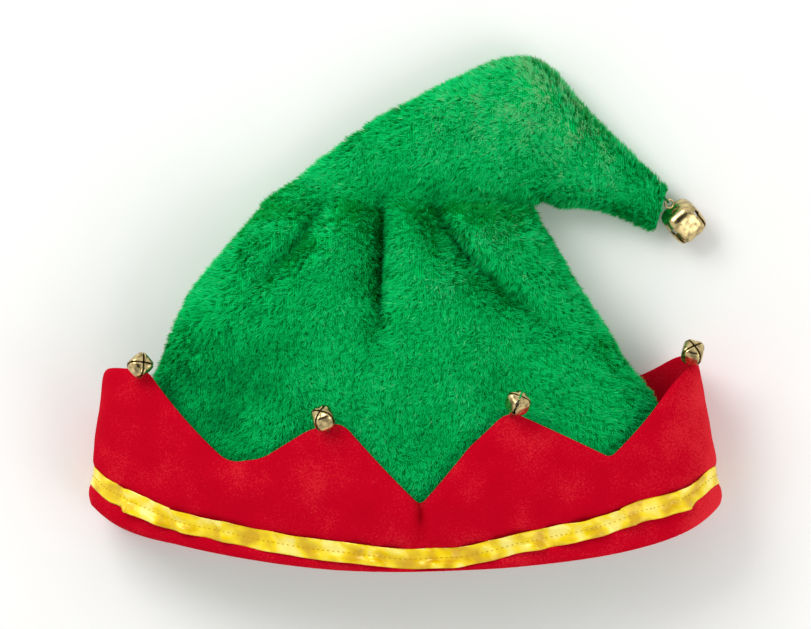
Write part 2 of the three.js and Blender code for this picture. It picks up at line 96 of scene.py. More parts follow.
# Shares that shape the soft forms
FOLD_SHARE = 0.4
TOP_FULLNESS = 0.86
BACK_FLAT = 0.72
BOW_POWER = 1.8
CORNER_POWER = 14
CORNER_LIFT = 9
BACK_ROUND = 0.8
DENT_ROUND = 0.5
PETAL_POWER = 3.4
SHOULDER_SOFT = 0.4
SHOULDER_FROM = 0.93
TAIL_GATHERED = 0.25
TAIL_FADE = 5
SLOT_TOP_SHARE = 0.2
HOLE_SHARE = 1.1
LOOP_SINK = 0.9
BACK_DROP = (1.08, 1.35)
HOLLOW_REACH = (1.5, 3.2)
HOLLOW_PLACE = 0.7

# Play of the pellets and room over the back bells, in clearances
PELLET_PLAY = 3
TIP_PELLET_PLAY = 6
BACK_BELL_ROOM = 6

# The crown's sections from the rim to the shoulder: run, left, right, top, bow
CROWN_ROWS = np.array(
    [
        (0, 1, 1, 0.82, 1),
        (0.06, 0.99, 0.985, 0.86, 1),
        (0.208, 0.932, 0.925, 0.94, 0.9),
        (0.338, 0.867, 0.825, 0.98, 0.78),
        (0.467, 0.802, 0.728, 1, 0.62),
        (0.596, 0.753, 0.65, 1, 0.44),
        (0.693, 0.708, 0.584, 0.98, 0.3),
        (0.79, 0.636, 0.526, 0.94, 0.17),
        (0.871, 0.565, 0.48, 0.89, 0.07),
        (0.935, 0.51, 0.442, 0.8, 0),
        (0.975, 0.476, 0.424, 0.66, 0),
    ]
)

# The tail's sections from the shoulder to the tip: outer across and up, inner across and up, top
TAIL_ROWS = np.array(
    [
        (-2.06, 0.02, -0.04, -0.02, 0.52),
        (-1.83, 0.16, -0.005, 0.01, 0.43),
        (-1.56, 0.36, 0.025, 0.028, 0.46),
        (-1.24, 0.56, 0.052, 0.034, 0.49),
        (-0.91, 0.72, 0.082, 0.03, 0.49),
        (-0.6, 0.86, 0.112, 0.014, 0.48),
        (-0.34, 0.96, 0.145, -0.006, 0.47),
        (-0.12, 1, 0.185, -0.024, 0.455),
        (0.075, 0.93, 0.245, -0.027, 0.44),
        (0.245, 0.76, 0.325, -0.024, 0.415),
        (0.42, 0.59, 0.435, -0.036, 0.385),
        (0.61, 0.43, 0.555, -0.062, 0.355),
        (0.775, 0.29, 0.68, -0.106, 0.325),
        (0.905, 0.185, 0.8, -0.155, 0.295),
        (0.984, 0.108, 0.892, -0.193, 0.25),
    ]
)

# The gathers below the shoulder: three points of each valley (across, run), depth, half width to its left and
# right, and depth of its sharp bottom
GATHERS = [
    ((-0.26, 1.01), (-0.31, 0.86), (-0.54, 0.7), 0.12, 0.09, 0.08, 0.06),
    ((-0.065, 1.02), (-0.07, 0.83), (-0.085, 0.53), 0.2, 0.16, 0.07, 0.13),
    ((0.105, 1.02), (0.1, 0.84), (0.54, 0.57), 0.19, 0.13, 0.08, 0.13),
]
CORE_HALF_WIDTH = 3.4

# The cuff's points (1) and valleys (0) round the rim: kind, turn, rise, blunt
CUFF_TEETH = np.array(
    [
        (1, 0, 0.945, 0.012),
        (1, 0.082, 1.028, 0.005),
        (0, 0.151, 0.98, 0.006),
        (0, 0.172, 1.1, 0.004),
        (1, 0.199, 0.875, 0.004),
        (1, 0.2175, 0.945, 0.004),
        (0, 0.2585, 0.725, 0.002),
        (0, 0.286, 1.345, 0.002),
        (1, 0.3095, 0.99, 0.006),
        (0, 0.3705, 0.955, 0.003),
        (1, 0.433, 0.905, 0.01),
        (1, 0.477, 1.015, 0.01),
        (1, 0.553, 1.075, 0.012),
        (1, 0.606, 0.99, 0.006),
        (0, 0.655, 1, 0.006),
        (1, 0.6975, 0.98, 0.006),
        (0, 0.7375, 1, 0.006),
        (1, 0.78, 0.98, 0.006),
        (0, 0.8225, 1, 0.006),
        (1, 0.87, 0.98, 0.008),
        (0, 0.9275, 1, 0.008),
    ]
)
PINCH_TURN = 0.2585

# The hem round the rim: turn, tuck, strip
HEM_ROWS = np.array(
    [
        (0, 0, 0.9),
        (0.08, 0.35, 0.75),
        (0.15, 0.5, 0.55),
        (0.21, 0.7, 0.25),
        (0.258, 1, -0.12),
        (0.31, 0.5, 0.4),
        (0.36, 0.1, 0.85),
        (0.42, 0, 1),
        (0.5, 0, 1),
        (0.9, 0, 1),
        (1, 0, 0.9),
    ]
)

# The roll's outline at the rim, standing and tucked: run, out, tucked run, tucked out
HEM_OUTLINE = [
    (-0.5, -0.68, 0.55, -0.68),
    (-0.88, -0.36, 0.6, -1.35),
    (-1, 0, 0, -1.5),
    (-0.88, 0.36, -0.28, -0.3),
    (-0.4, 0.53, -0.26, 0.34),
]

# Each point bell's seat and pose in degrees: turn, drop, out, heading, climb, roll
BELL_SEATS = np.array(
    [
        (0.0725, 0.012, 1.25, 50, 64, -50),
        (0.2105, 0.045, 1.14, -22, 42, 22),
        (0.3105, 0.02, 1.14, 22, 42, 23),
        (0.47, 0, 0.5, 14, 50, -14),
        (0.6975, 0, 0.5, 0, 30, 45),
        (0.78, 0, 0.5, 0, 30, 45),
        (0.87, 0, 0.5, 0, 30, 45),
    ]
)
TIP_BELL_POSE = (140, -25, -140)

# Patches of painted light and shade on the pile, which also stand for where it is brushed up or lies flat:
# across, up, reach in millimetres and change of tone
PILE_LIGHT_AND_SHADE_PATCHES = [
    (-94, -42, 34, -0.46),
    (48, 40, 15, 0.15),
    (105, 60, 18, 0.12),
    (60, 112, 42, 0.4),
    (88, 92, 22, 0.2),
    (30, 20, 26, 0.07),
    (-10, 92, 16, -0.12),
]

# How finely the soft forms are drawn
RINGS_PER_SPAN = 4
CROWN_TURNS = 256
CUFF_COLUMNS = 760
RIBBON_COLUMNS = 760
TUFTS_PER_PIECE = 8000
STRANDS_PER_TUFT = 7
PILE_PIECES = 4
GLINT_SHARE = 0.07
GLINT_TONE = 0.2
# Painted shade in the gathers, as tone lost per crown depth of fold
FOLD_PAINTED_SHADE = 0.95
RIBBON_ROWS = 13
STITCH_STEPS = 12
STITCH_RINGS = 5
STITCH_SIDES = 6

# Layers of smooth noise: height or share, cell in millimetres and shift
CROWN_LUMPS = [(0.7, 26, 0), (0.35, 11, 0)]
CUFF_LUMPS = [(1, 21, 0), (0.45, 9, 0)]
NAP_SWIRLS = [(1.1, 24, 0), (0.8, 7, 500)]

# The pile: a tuft's radius, how deep its roots sit and how far off the floor it stays, in millimetres, how it
# lies under the cuff's edge, its tone and how that scatters, and a strand's tones from its root to its tip,
# painted shade at the root and painted light at the tip
TUFT_RADIUS = 1.25
ROOT_DEPTH = 0.4
PILE_FLOOR_GAP = 0.25
COVERED_LEAN = 84
COVERED_LENGTH = 0.7
TUFT_TONE = 0.42
TUFT_TONE_SCATTER = 0.07
ROOT_SHADE_TIP_LIGHT_TONES = np.array([-0.24, -0.24, 0, 0, 0.16])

# The cuff below its sharp valley in front, in millimetres: the pinch's depth and half width, the swelling
# beside it, and the slit in it with its span below the valley
PINCH_DEPTH = 2.4
PINCH_HALF_WIDTH = 1.8
SWELL_HEIGHT = 1.1
SWELL_DISTANCE = 5.5
SWELL_HALF_WIDTH = 3.5
SLIT_DEPTH = 3.2
SLIT_HALF_WIDTH = 1.3
SLIT_SPAN = (15, 6)

# The ribbon's puckers as height and cell: slanting, wide and fine ones and sharp creases; and the sway of the
# whole ribbon and of its edges, in millimetres
SLANT_PUCKER = (0.8, 8.5)
WIDE_PUCKER = (0.6, 15)
FINE_PUCKER = (0.45, 3.4)
CREASE = (0.55, 17)
RIBBON_SWAY = (1.1, 16)
EDGE_SWAY = (0.3, 12)
SATIN_THICKNESS = 0.35

# The raised lips beside a bell's slots, in diameters, and how far above the slots they reach in millimetres
LIP_HEIGHT = 0.03
LIP_DISTANCE = 0.09
LIP_HALF_WIDTH = 0.035
LIP_RISE = 0.4

# The photograph's width in pixels, a pixel's size, the camera's place and the height that it is focused on
PHOTO_WIDTH = 811
PHOTO_PIXEL = 0.0005
PHOTO_MIDDLE = (0.00025, -0.0005)
FOCUS_HEIGHT = 0.04

RIM_Y = (RIM_BOW - CROWN_RUN - TAIL_RISE) / 2
CROWN_LIFT = CUFF_WALL + CLEARANCE
SHOULDER_RIGHT = np.array([CROWN_HALF_WIDTH * 0.427, RIM_Y + CROWN_RUN])
GROOVE_DEPTH = RIBBON_THICKNESS + 2 * CLEARANCE
BACK_BELL_HEIGHT = POINT_BELL_DIAMETER + BACK_BELL_ROOM * CLEARANCE
PILE_SINK = 2.4
RIBBON_FLOOR_GAP = 0.1

# Where the solids stand in the frame
crown_low, crown_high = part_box("crown")
SEAT = np.array(
    [
        crown_high.x / MM - CROWN_HALF_WIDTH,
        crown_high.y / MM - SHOULDER_RIGHT[1] - TAIL_RISE,
        crown_low.z / MM,
    ]
)


def linear(hex_colour):
    """An sRGB hex colour as linear red, green, blue and alpha."""
    parts = [int(hex_colour[i : i + 2], 16) / 255 for i in (1, 3, 5)]
    return tuple(p / 12.92 if p <= 0.04045 else ((p + 0.055) / 1.055) ** 2.4 for p in parts) + (1.0,)


def colour_property(name, description, hex_colour):
    return FloatVectorProperty(
        name=name, description=description, default=linear(hex_colour), size=4, subtype="COLOR"
    )


def length_property(name, description, default, low=0):
    return FloatProperty(name=name, description=description, default=default, min=low, unit="LENGTH")


def smooth(value, low, high):
    share = np.clip((value - low) / (high - low), 0, 1)
    return share * share * (3 - 2 * share)


def mix(a, b, share):
    return a + (b - a) * share


def read_table(keys, column, at):
    """A smooth reading of one column of a table between its rows."""
    at = np.asarray(at, float)
    i = np.clip(np.searchsorted(keys, at, side="right") - 1, 0, len(keys) - 2)
    before, after = np.maximum(i - 1, 0), np.minimum(i + 2, len(keys) - 1)
    step = keys[i + 1] - keys[i]
    u = np.clip((at - keys[i]) / step, 0, 1)
    share_a, share_b = step / (keys[i + 1] - keys[before]), step / (keys[after] - keys[i])
    if column.ndim > 1:
        u, share_a, share_b = u[:, None], share_a[:, None], share_b[:, None]
    slope_a = (column[i + 1] - column[before]) * share_a
    slope_b = (column[after] - column[i]) * share_b
    rise = column[i + 1] - column[i]
    bend = 3 * rise - 2 * slope_a - slope_b
    return column[i] + u * (slope_a + u * (bend + u * (slope_a + slope_b - 2 * rise)))


LATTICE = np.random.default_rng(11).random((32, 32, 32))


def soft_noise(points, cell):
    """Smooth noise from -1 to 1 with lumps about cell apart, at points of any shape (..., 3)."""
    q = points / cell
    base = np.floor(q).astype(int)
    f = q - base
    f = f * f * (3 - 2 * f)
    value = np.zeros(q.shape[:-1])
    for corner in np.ndindex(2, 2, 2):
        weight = np.prod(np.where(np.array(corner) == 1, f, 1 - f), axis=-1)
        spot = (base + np.array(corner)) % 32
        value += weight * LATTICE[spot[..., 0], spot[..., 1], spot[..., 2]]
    return 2 * value - 1


def layered_noise(points, layers):
    return sum(height * soft_noise(points + shift, cell) for height, cell, shift in layers)


def crown_ring(run):
    """The flattened ring across the crown at a run from the rim."""
    run = np.asarray(run, float)
    left, right, top, bow = (
        read_table(CROWN_ROWS[:, 0], CROWN_ROWS[:, i], run / CROWN_RUN) for i in (1, 2, 3, 4)
    )
    return {
        "left": np.stack([-CROWN_HALF_WIDTH * left, RIM_Y + run], -1),
        "right": np.stack([CROWN_HALF_WIDTH * right, RIM_Y + run], -1),
        "top": CROWN_DEPTH * top,
        "bow": RIM_BOW * bow,
        "corner": CORNER_LIFT * np.maximum(0, 1 - run / POINT_RUN),
        "gathered": 1 - SHOULDER_SOFT * smooth(run / CROWN_RUN, SHOULDER_FROM, 1),
        "lift": CROWN_LIFT * (1 - smooth(run / POINT_RUN, *BACK_DROP)),
    }


def cuff_ring(run):
    ring = crown_ring(run)
    free = np.maximum(0, run - HEM_STRIP)
    flare = smooth(free, 0, RIBBON_WIDTH)
    half = float(crown_ring(HEM_STRIP)["right"][0])
    ring["left"][..., 0] = mix(ring["left"][..., 0], LEFT_TAPER * free / POINT_RUN - half, flare)
    ring["right"][..., 0] = mix(ring["right"][..., 0], half - RIGHT_TAPER * free / POINT_RUN, flare)
    ring["top"] = ring["top"] + CUFF_STAND_OFF * flare
    ring["bow"] = RIM_BOW + 0 * flare
    ring["lift"] = CROWN_LIFT + 0 * flare
    return ring


def tail_ring(u):
    """The ring across the tail, with u from 0 at the shoulder to 1 at the tip."""
    u = np.asarray(u, float)
    keys = np.arange(len(TAIL_ROWS)) / (len(TAIL_ROWS) - 1)
    read = [read_table(keys, TAIL_ROWS[:, i], u) for i in range(5)]
    reach = np.array([TAIL_REACH, TAIL_RISE])
    return {
        "left": np.stack(read[0:2], -1) * reach + SHOULDER_RIGHT,
        "right": np.stack(read[2:4], -1) * reach + SHOULDER_RIGHT,
        "top": CROWN_DEPTH * read[4],
        "bow": 0 * u,
        "corner": 0 * u,
        "gathered": np.maximum(0, TAIL_GATHERED - TAIL_FADE * u),
        "lift": 0 * u,
    }


def ring_point(ring, turn, out):
    """Points of a flattened ring, out from the plush's outer face."""
    across, rise = -np.cos(2 * np.pi * turn), np.sin(2 * np.pi * turn)
    side = ring["right"] - ring["left"]
    side = side / np.linalg.norm(side, axis=-1, keepdims=True)
    out = np.asarray(out, float)
    left = ring["left"] - side * out[..., None]
    right = ring["right"] + side * out[..., None]
    place = left + (right - left) * ((across + 1) / 2)[..., None]
    under = smooth(-rise, 0, 1)
    bow = ring["bow"] * mix(1, BACK_RIM_BOW / RIM_BOW, under)
    arch = bow * (1 - np.abs(across) ** BOW_POWER)
    y = place[..., 1] - arch + ring["corner"] * np.abs(across) ** CORNER_POWER
    fold = ring["lift"] + FOLD_SHARE * (ring["top"] - ring["lift"])
    crest = fold + (ring["top"] + out - fold) * np.abs(rise) ** TOP_FULLNESS
    sink = sink_at(rise)
    return np.stack([place[..., 0], y, np.where(rise >= 0, crest, mix(fold, ring["lift"] - out, sink))], -1)


def sink_at(rise):
    return np.sin(np.pi / 2 * np.clip(-rise / BACK_FLAT, 0, 1)) ** BACK_ROUND


def gather_depth(x, y):
    """Depth of the gathers below the puffed crown at places in plan."""
    total = np.zeros(np.shape(x))
    for start, by, end, depth, left, right, core in GATHERS:
        a, b, c = (np.array([p[0] * CROWN_HALF_WIDTH, RIM_Y + p[1] * CROWN_RUN]) for p in (start, by, end))
        gap = np.full(np.shape(x), np.inf)
        fade, side = np.zeros(np.shape(x)), np.zeros(np.shape(x))
        for t in np.linspace(0, 1, 49):
            spot = (1 - t) ** 2 * a + 2 * t * (1 - t) * b + t * t * c
            course = (1 - t) * (b - a) + t * (c - b)
            here = np.hypot(x - spot[0], y - spot[1])
            nearer = here < gap
            fade = np.where(nearer, 1 - t**3, fade)
            side = np.where(nearer, course[0] * (y - spot[1]) - course[1] * (x - spot[0]), side)
            gap = np.minimum(gap, here)
        spread = np.where(side > 0, right, left) * CROWN_DEPTH
        valley = depth * np.exp(-((gap / spread) ** 2)) + core * np.exp(-((gap / CORE_HALF_WIDTH) ** 2))
        total += valley * CROWN_DEPTH * fade
    return total


def edge_run(turn):
    """Run of the cuff's edge at a turn."""
    turn = np.asarray(turn, float)
    laps = [CUFF_TEETH + [0, lap, 0, 0] for lap in (-1, 0, 1)]
    rows = np.concatenate(laps)
    runs = rows[:, 2] * np.where(rows[:, 0] == 1, POINT_RUN, VALLEY_RUN)
    after = np.searchsorted(rows[:, 1], turn, side="right")
    near = np.where(turn - rows[after - 1, 1] < rows[after, 1] - turn, after - 1, after)
    blunt = rows[near, 3]
    spots = [np.interp(turn + share * blunt, rows[:, 1], runs) for share in (-1, -0.5, 0, 0.5, 1)]
    return sum(spots) / len(spots)


def cuff_inside(turn):
    beyond = np.maximum(0, np.abs(np.cos(2 * np.pi * turn)) - BACK_FLAT)
    return CLEARANCE + FOLD_SLACK * (beyond / (1 - BACK_FLAT)) ** 2


def ribbon_low(turn):
    sway = LONG_SWAY * np.sin(10 * np.pi * turn) + SHORT_SWAY * np.sin(26 * np.pi * turn + 1)
    return HEM_STRIP * read_table(HEM_ROWS[:, 0], HEM_ROWS[:, 2], turn) + sway


def pressed_flat(points, level):
    """Points of cloth that lie on the floor, no lower than a level above it."""
    return np.stack([points[..., 0], points[..., 1], np.maximum(points[..., 2], level)], -1)


def even_turns(count):
    """Turns round the rim that lie about evenly along the cloth."""
    fine = np.linspace(0, 1, 4001)
    line = ring_point(cuff_ring(np.full(fine.shape, 30.0)), fine, np.full(fine.shape, CUFF_WALL))
    steps = np.linalg.norm(np.diff(line, axis=0), axis=1) + 0.02
    along = np.concatenate([[0], np.cumsum(steps)])
    return np.interp(np.arange(count) / count * along[-1], along, fine), along[-1]


def back_bell_places():
    """Where the bells under the back press into the crown, in plan."""
    turn, drop, out = BELL_SEATS[BELL_SEATS[:, 0] > 0.5, :3].T
    runs = edge_run(turn) - drop * POINT_RUN
    seats = ring_point(cuff_ring(runs), turn, cuff_inside(turn) + out * CUFF_WALL)
    return seats[:, :2] + [0, POINT_BELL_DIAMETER * HOLLOW_PLACE]


def past_cuff(places, on_top):
    """How far places on the crown lie beyond the cuff's edge in plan, on top or underneath."""
    beyond = []
    for start in (0, 0.5):
        turn = start + np.linspace(0, 0.5, 800)
        edge = ring_point(cuff_ring(edge_run(turn)), turn, cuff_inside(turn))
        edge = edge[np.argsort(edge[:, 0])]
        slope = np.gradient(edge[:, 1], edge[:, 0] + 1e-4 * np.arange(len(edge)))
        level = np.interp(places[..., 0], edge[:, 0], edge[:, 1])
        tilt = np.interp(places[..., 0], edge[:, 0], slope)
        beyond.append((places[..., 1] - level) / np.sqrt(1 + tilt**2))
    return np.where(on_top, *beyond)


def crown_rings(out, per_span):
    """Rings of the crown and tail from the rim to the tip, with each ring's run from the rim."""
    shares = CROWN_ROWS[:, 0]
    shares = np.sort(np.concatenate([shares, (shares[1:] + shares[:-1]) / 2]))
    turns = np.arange(CROWN_TURNS) / CROWN_TURNS
    us = np.arange(len(TAIL_ROWS)) / (len(TAIL_ROWS) - 1)
    crown, tail = crown_ring(shares[:, None] * CROWN_RUN), tail_ring(us[:, None])
    control = np.concatenate([ring_point(crown, turns[None], out), ring_point(tail, turns[None], out)])
    lift = np.concatenate([crown["lift"], tail["lift"]])[:, 0]
    gathered = np.concatenate([crown["gathered"], tail["gathered"]])[:, 0]
    runs = np.concatenate([shares * CROWN_RUN, CROWN_RUN * (1 + us)])
    at = np.linspace(0, len(control) - 1, (len(control) - 1) * per_span + 1)
    keys = np.arange(len(control))
    rings = read_table(keys, control.reshape(len(control), -1), at).reshape(len(at), len(turns), 3)
    lift, gathered, runs = (np.interp(at, keys, x) for x in (lift, gathered, runs))
    rise = np.sin(2 * np.pi * turns)
    x, y = rings[..., 0], rings[..., 1]
    dent = gathered[:, None] * gather_depth(x, y) * np.maximum(rise, 0) ** DENT_ROUND
    hollow = np.zeros(x.shape)
    for place in back_bell_places():
        gap = np.hypot(place[0] - x, place[1] - y) / POINT_BELL_DIAMETER
        fade = 1 - smooth(gap, *HOLLOW_REACH)
        hollow = np.maximum(hollow, BACK_BELL_HEIGHT * fade)
    rings[..., 2] += sink_at(rise) * np.maximum(0, hollow - lift[:, None]) * (rise < 0) - dent
    free = smooth(runs, 30, 60)[:, None] * smooth(rise, -0.2, 0.3)[None]
    rings[..., 2] += layered_noise(rings, CROWN_LUMPS) * free
    return rings, runs, turns


def tip_point(last):
    """The middle of the tail's end, drawn in towards the crown."""
    before, end = tail_ring(1 - 1 / len(TAIL_ROWS)), tail_ring(1.0)
    heading = end["left"] + end["right"] - before["left"] - before["right"]
    heading = heading / np.linalg.norm(heading)
    return last.mean(axis=0) - TIP_PUCKER * np.array([*heading, 0])


def mesh_object(name, points, faces, material, smooth_shaded=True):
    """An object from points in millimetres, before the hat's seat, and triangles or quads in one array."""
    mesh = bpy.data.meshes.new(name)
    mesh.vertices.add(len(points))
    mesh.vertices.foreach_set("co", ((points + SEAT) * MM).astype(np.float32).ravel())
    sides = faces.shape[1]
    mesh.loops.add(faces.size)
    mesh.loops.foreach_set("vertex_index", faces.astype(np.int32).ravel())
    mesh.polygons.add(len(faces))
    mesh.polygons.foreach_set("loop_start", np.arange(len(faces), dtype=np.int32) * sides)
    mesh.polygons.foreach_set("use_smooth", np.full(len(faces), smooth_shaded))
    mesh.update(calc_edges=True)
    mesh.materials.append(material)
    obj = bpy.data.objects.new(name, mesh)
    bpy.context.scene.collection.objects.link(obj)
    return obj


def grid_faces(rows, columns, offset=0, close_rows=False):
    """Quads of a grid whose columns close into rings."""
    i = np.arange(rows if close_rows else rows - 1)[:, None]
    j = np.arange(columns)[None]
    nexts = (i + 1) % rows
    right = (j + 1) % columns
    corners = [i * columns + j, i * columns + right, nexts * columns + right, nexts * columns + j]
    return np.stack([c + offset for c in corners], -1).reshape(-1, 4)


def carry(obj, nodes):
    """Hangs a piece under the root body and hides the solids that it stands for."""
    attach(obj, "root")
    if nodes:
        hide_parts(*nodes)


def new_material(name):
    material = bpy.data.materials.new(name)
    material.use_nodes = True
    tree = material.node_tree
    tree.nodes.clear()
    shader = add_node(tree, "ShaderNodeBsdfPrincipled")
    output = add_node(tree, "ShaderNodeOutputMaterial", links={"Surface": shader.outputs["BSDF"]})
    output.location = (300, 0)
    return material, tree, shader


def add_node(tree, kind, settings=None, links=None):
    """Adds a node, sets its fields and sockets by name, and links its inputs."""
    node = tree.nodes.new(kind)
    for key, value in (settings or {}).items():
        if isinstance(key, str) and hasattr(node, key):
            setattr(node, key, value)
        else:
            node.inputs[key].default_value = value
    for key, socket in (links or {}).items():
        tree.links.new(socket, node.inputs[key])
    return node


def set_ramp(node, stops):
    """Sets a colour ramp's stops, as (place, linear colour) pairs."""
    ramp = node.color_ramp
    while len(ramp.elements) > 1:
        ramp.elements.remove(ramp.elements[-1])
    ramp.elements[0].position, ramp.elements[0].color = stops[0][0], tuple(stops[0][1])
    for place, colour in stops[1:]:
        ramp.elements.new(place).color = tuple(colour)


class CrownSettings(bpy.types.PropertyGroup):
    pile_length: length_property("Pile length", "Length of the crown's plush pile", 0.0046, 0.001)
    pile_lean: FloatProperty(
        name="Pile lean",
        description="How far the pile leans at its tips",
        default=math.radians(52),
        subtype="ANGLE",
    )
    strand_width: length_property("Strand width", "Width of a lock of pile at its root", 0.00046)
    root_colour: colour_property("Root colour", "Pile near the backing", "#009E4A")
    pile_colour: colour_property("Pile colour", "Middle of the pile", "#00D46C")
    tip_colour: colour_property("Tip colour", "Upper part of the pile", "#1CE68A")
    # The palest pile colour, which also carries painted light on the bright patches and on strands that catch
    # the light
    brushed_and_lit_colour: colour_property("Brushed colour", "Pile brushed up", "#9ADC9A")


class CuffSettings(bpy.types.PropertyGroup):
    lump_height: length_property("Lump height", "Soft unevenness of the cuff", 0.0009)
    nap_colour: colour_property("Nap colour", "Velour with the nap", "#C2011E")
    # The palest velour colour, which also carries the painted sheen over the right fold
    brushed_and_lit_colour: colour_property("Brushed colour", "Velour against the nap", "#DE2A34")


class RibbonSettings(bpy.types.PropertyGroup):
    pucker_height: length_property("Pucker height", "Height of the ribbon's puckers", 0.0024)
    stitch_pitch: length_property("Stitch pitch", "From one stitch to the next", 0.0027, 0.001)
    satin_colour: colour_property("Satin colour", "Satin ribbon", "#FADC00")
    thread_colour: colour_property("Thread colour", "Ribbon's sewing thread", "#DDAE12")


class BellSettings(bpy.types.PropertyGroup):
    facets: IntProperty(name="Facets", description="Facets round each bell", default=64, min=24, max=128)
    brass_colour: colour_property("Brass colour", "Bright brass plate", "#E0C88E")
    tarnish_colour: colour_property("Tarnish colour", "Duller brass", "#8A7A56")
    steel_colour: colour_property("Steel colour", "Pellets inside the bells", "#9A9C9E")


class StageSettings(bpy.types.PropertyGroup):
    floor_colour: colour_property("Floor colour", "Studio floor", "#F7F7F5")
    sky_strength: FloatProperty(
        name="Sky strength", description="Soft light from all round", default=0.78, min=0
    )
    key_power: FloatProperty(name="Key power", description="Large softbox", default=17, min=0, unit="POWER")
    camera_height: length_property("Camera height", "Camera above the floor", 11, 1)


def object_coordinates(tree):
    """Links that give a texture node its object's coordinates."""
    return {"Vector": add_node(tree, "ShaderNodeTexCoord").outputs["Object"]}


def set_surface(tree, shader, colour, bump, roughness, specular):
    """Links a shader's colour and its bump, if it has one, and sets how rough and how shiny it is."""
    tree.links.new(colour.outputs["Color"], shader.inputs["Base Color"])
    if bump:
        tree.links.new(bump.outputs["Normal"], shader.inputs["Normal"])
    shader.inputs["Roughness"].default_value = roughness
    shader.inputs["Specular IOR Level"].default_value = specular


def plush_pile(settings):
    """Polyester plush, a brushed knit with a deep cut pile: matt locks, with painted shade between them and
    at their roots, and painted light at their tips and in bright patches.
    """
    material, tree, shader = new_material("polyester_plush_pile")
    tone = add_node(tree, "ShaderNodeAttribute", {"attribute_name": "pile_tone"})
    ramp = add_node(tree, "ShaderNodeValToRGB", links={"Fac": tone.outputs["Fac"]})
    lower = [(0, settings.root_colour), (0.4, settings.pile_colour)]
    set_ramp(ramp, lower + [(0.72, settings.tip_colour), (1, settings.brushed_and_lit_colour)])
    set_surface(tree, shader, ramp, None, 0.8, 0.03)
    # Thin fibres let a quarter of the light through
    through = add_node(tree, "ShaderNodeBsdfTranslucent", links={"Color": ramp.outputs["Color"]})
    both = add_node(
        tree, "ShaderNodeMixShader", {0: 0.25}, {1: shader.outputs["BSDF"], 2: through.outputs["BSDF"]}
    )
    tree.links.new(both.outputs["Shader"], tree.get_output_node("CYCLES").inputs["Surface"])
    return material


def plush_backing(settings):
    """The plush's knitted polyester backing: fine dull ribs, one shade darker than the pile."""
    material, tree, shader = new_material("knitted_plush_backing")
    vector = object_coordinates(tree)
    # Knit wales 1.2 mm apart, with painted shade in the grooves between them
    ribs = add_node(
        tree,
        "ShaderNodeTexWave",
        {"Scale": wave_scale(1.2), "Distortion": 2.0, "Detail": 2.0},
        vector,
    )
    ramp = add_node(tree, "ShaderNodeValToRGB", links={"Fac": ribs.outputs["Fac"]})
    set_ramp(ramp, [(0, settings.root_colour), (1, settings.pile_colour)])
    bump = add_node(
        tree, "ShaderNodeBump", {"Strength": 0.4, "Distance": 0.0004}, {"Height": ribs.outputs["Fac"]}
    )
    set_surface(tree, shader, ramp, bump, 0.9, 0.03)
    return material


def wave_scale(pitch):
    """Scale of a wave texture whose bands lie pitch millimetres apart, in object coordinates of metres."""
    return 2 * math.pi / 20 / (pitch * MM)


def noise_scale(size):
    """Scale of a noise texture whose patches are about size millimetres, in object coordinates of metres."""
    return 1 / (size * MM)


def velour_nap(settings):
    """Polyester velour, a sheared short-pile knit: velvety and matt, paler where the nap is brushed up, with
    a painted sheen over the right fold.
    """
    material, tree, shader = new_material("polyester_velour")
    vector = object_coordinates(tree)
    # Brushed patches 18 mm across, broken up by nap grains of 0.9 mm, drawn coarser than real pile to show
    patches = add_node(tree, "ShaderNodeTexNoise", {"Scale": noise_scale(18), "Detail": 1.0}, vector)
    grains = add_node(tree, "ShaderNodeTexNoise", {"Scale": noise_scale(0.9), "Detail": 2.0}, vector)
    faint = add_node(
        tree, "ShaderNodeMath", {"operation": "MULTIPLY_ADD", 1: 0.4, 2: 0.25}, {0: patches.outputs["Fac"]}
    )
    both = add_node(
        tree,
        "ShaderNodeMath",
        {"operation": "MULTIPLY_ADD", 1: 0.55},
        {0: grains.outputs["Fac"], 2: faint.outputs["Value"]},
    )
    # Painted sheen: the velour is paler over the right fold, where the cloth turns, from 132 mm off the
    # middle
    axes = add_node(tree, "ShaderNodeSeparateXYZ", links=vector)
    fold = add_node(
        tree,
        "ShaderNodeMapRange",
        {
            "From Min": 0.132,
            "From Max": 0.162,
            "To Min": 0.0,
            "To Max": 0.34,
            "interpolation_type": "SMOOTHSTEP",
        },
        {"Value": axes.outputs["X"]},
    )
    total = add_node(
        tree, "ShaderNodeMath", {"operation": "ADD"}, {0: both.outputs["Value"], 1: fold.outputs["Result"]}
    )
    ramp = add_node(tree, "ShaderNodeValToRGB", links={"Fac": total.outputs["Value"]})
    set_ramp(ramp, [(0.5, linear("#B6001A")), (0.75, settings.nap_colour), (1, settings.brushed_and_lit_colour)])
    bump = add_node(
        tree, "ShaderNodeBump", {"Strength": 0.35, "Distance": 0.0005}, {"Height": grains.outputs["Fac"]}
    )
    set_surface(tree, shader, ramp, bump, 0.9, 0.03)
    return material


def satin_weave(settings):
    """Polyester satin ribbon, long floats woven across: a smooth glossy face that flares at each pucker."""
    material, tree, shader = new_material("polyester_satin")
    vector = object_coordinates(tree)
    # Floats 0.5 mm apart, drawn coarser than the real weave so that they show, and painted sheen and shade in
    # patches of 10 mm
    floats = add_node(
        tree,
        "ShaderNodeTexWave",
        {"bands_direction": "Y", "Scale": wave_scale(0.5), "Distortion": 0.6},
        vector,
    )
    cloud = add_node(tree, "ShaderNodeTexNoise", {"Scale": noise_scale(10), "Detail": 1.0}, vector)
    ramp = add_node(tree, "ShaderNodeValToRGB", links={"Fac": cloud.outputs["Fac"]})
    set_ramp(ramp, [(0.34, linear("#D8AA00")), (0.54, settings.satin_colour), (0.68, linear("#FFEE78"))])
    bump = add_node(
        tree, "ShaderNodeBump", {"Strength": 0.15, "Distance": 0.0001}, {"Height": floats.outputs["Fac"]}
    )
    set_surface(tree, shader, ramp, bump, 0.23, 0.95)
    shader.inputs["Specular Tint"].default_value = linear("#FFF0B4")
    return material


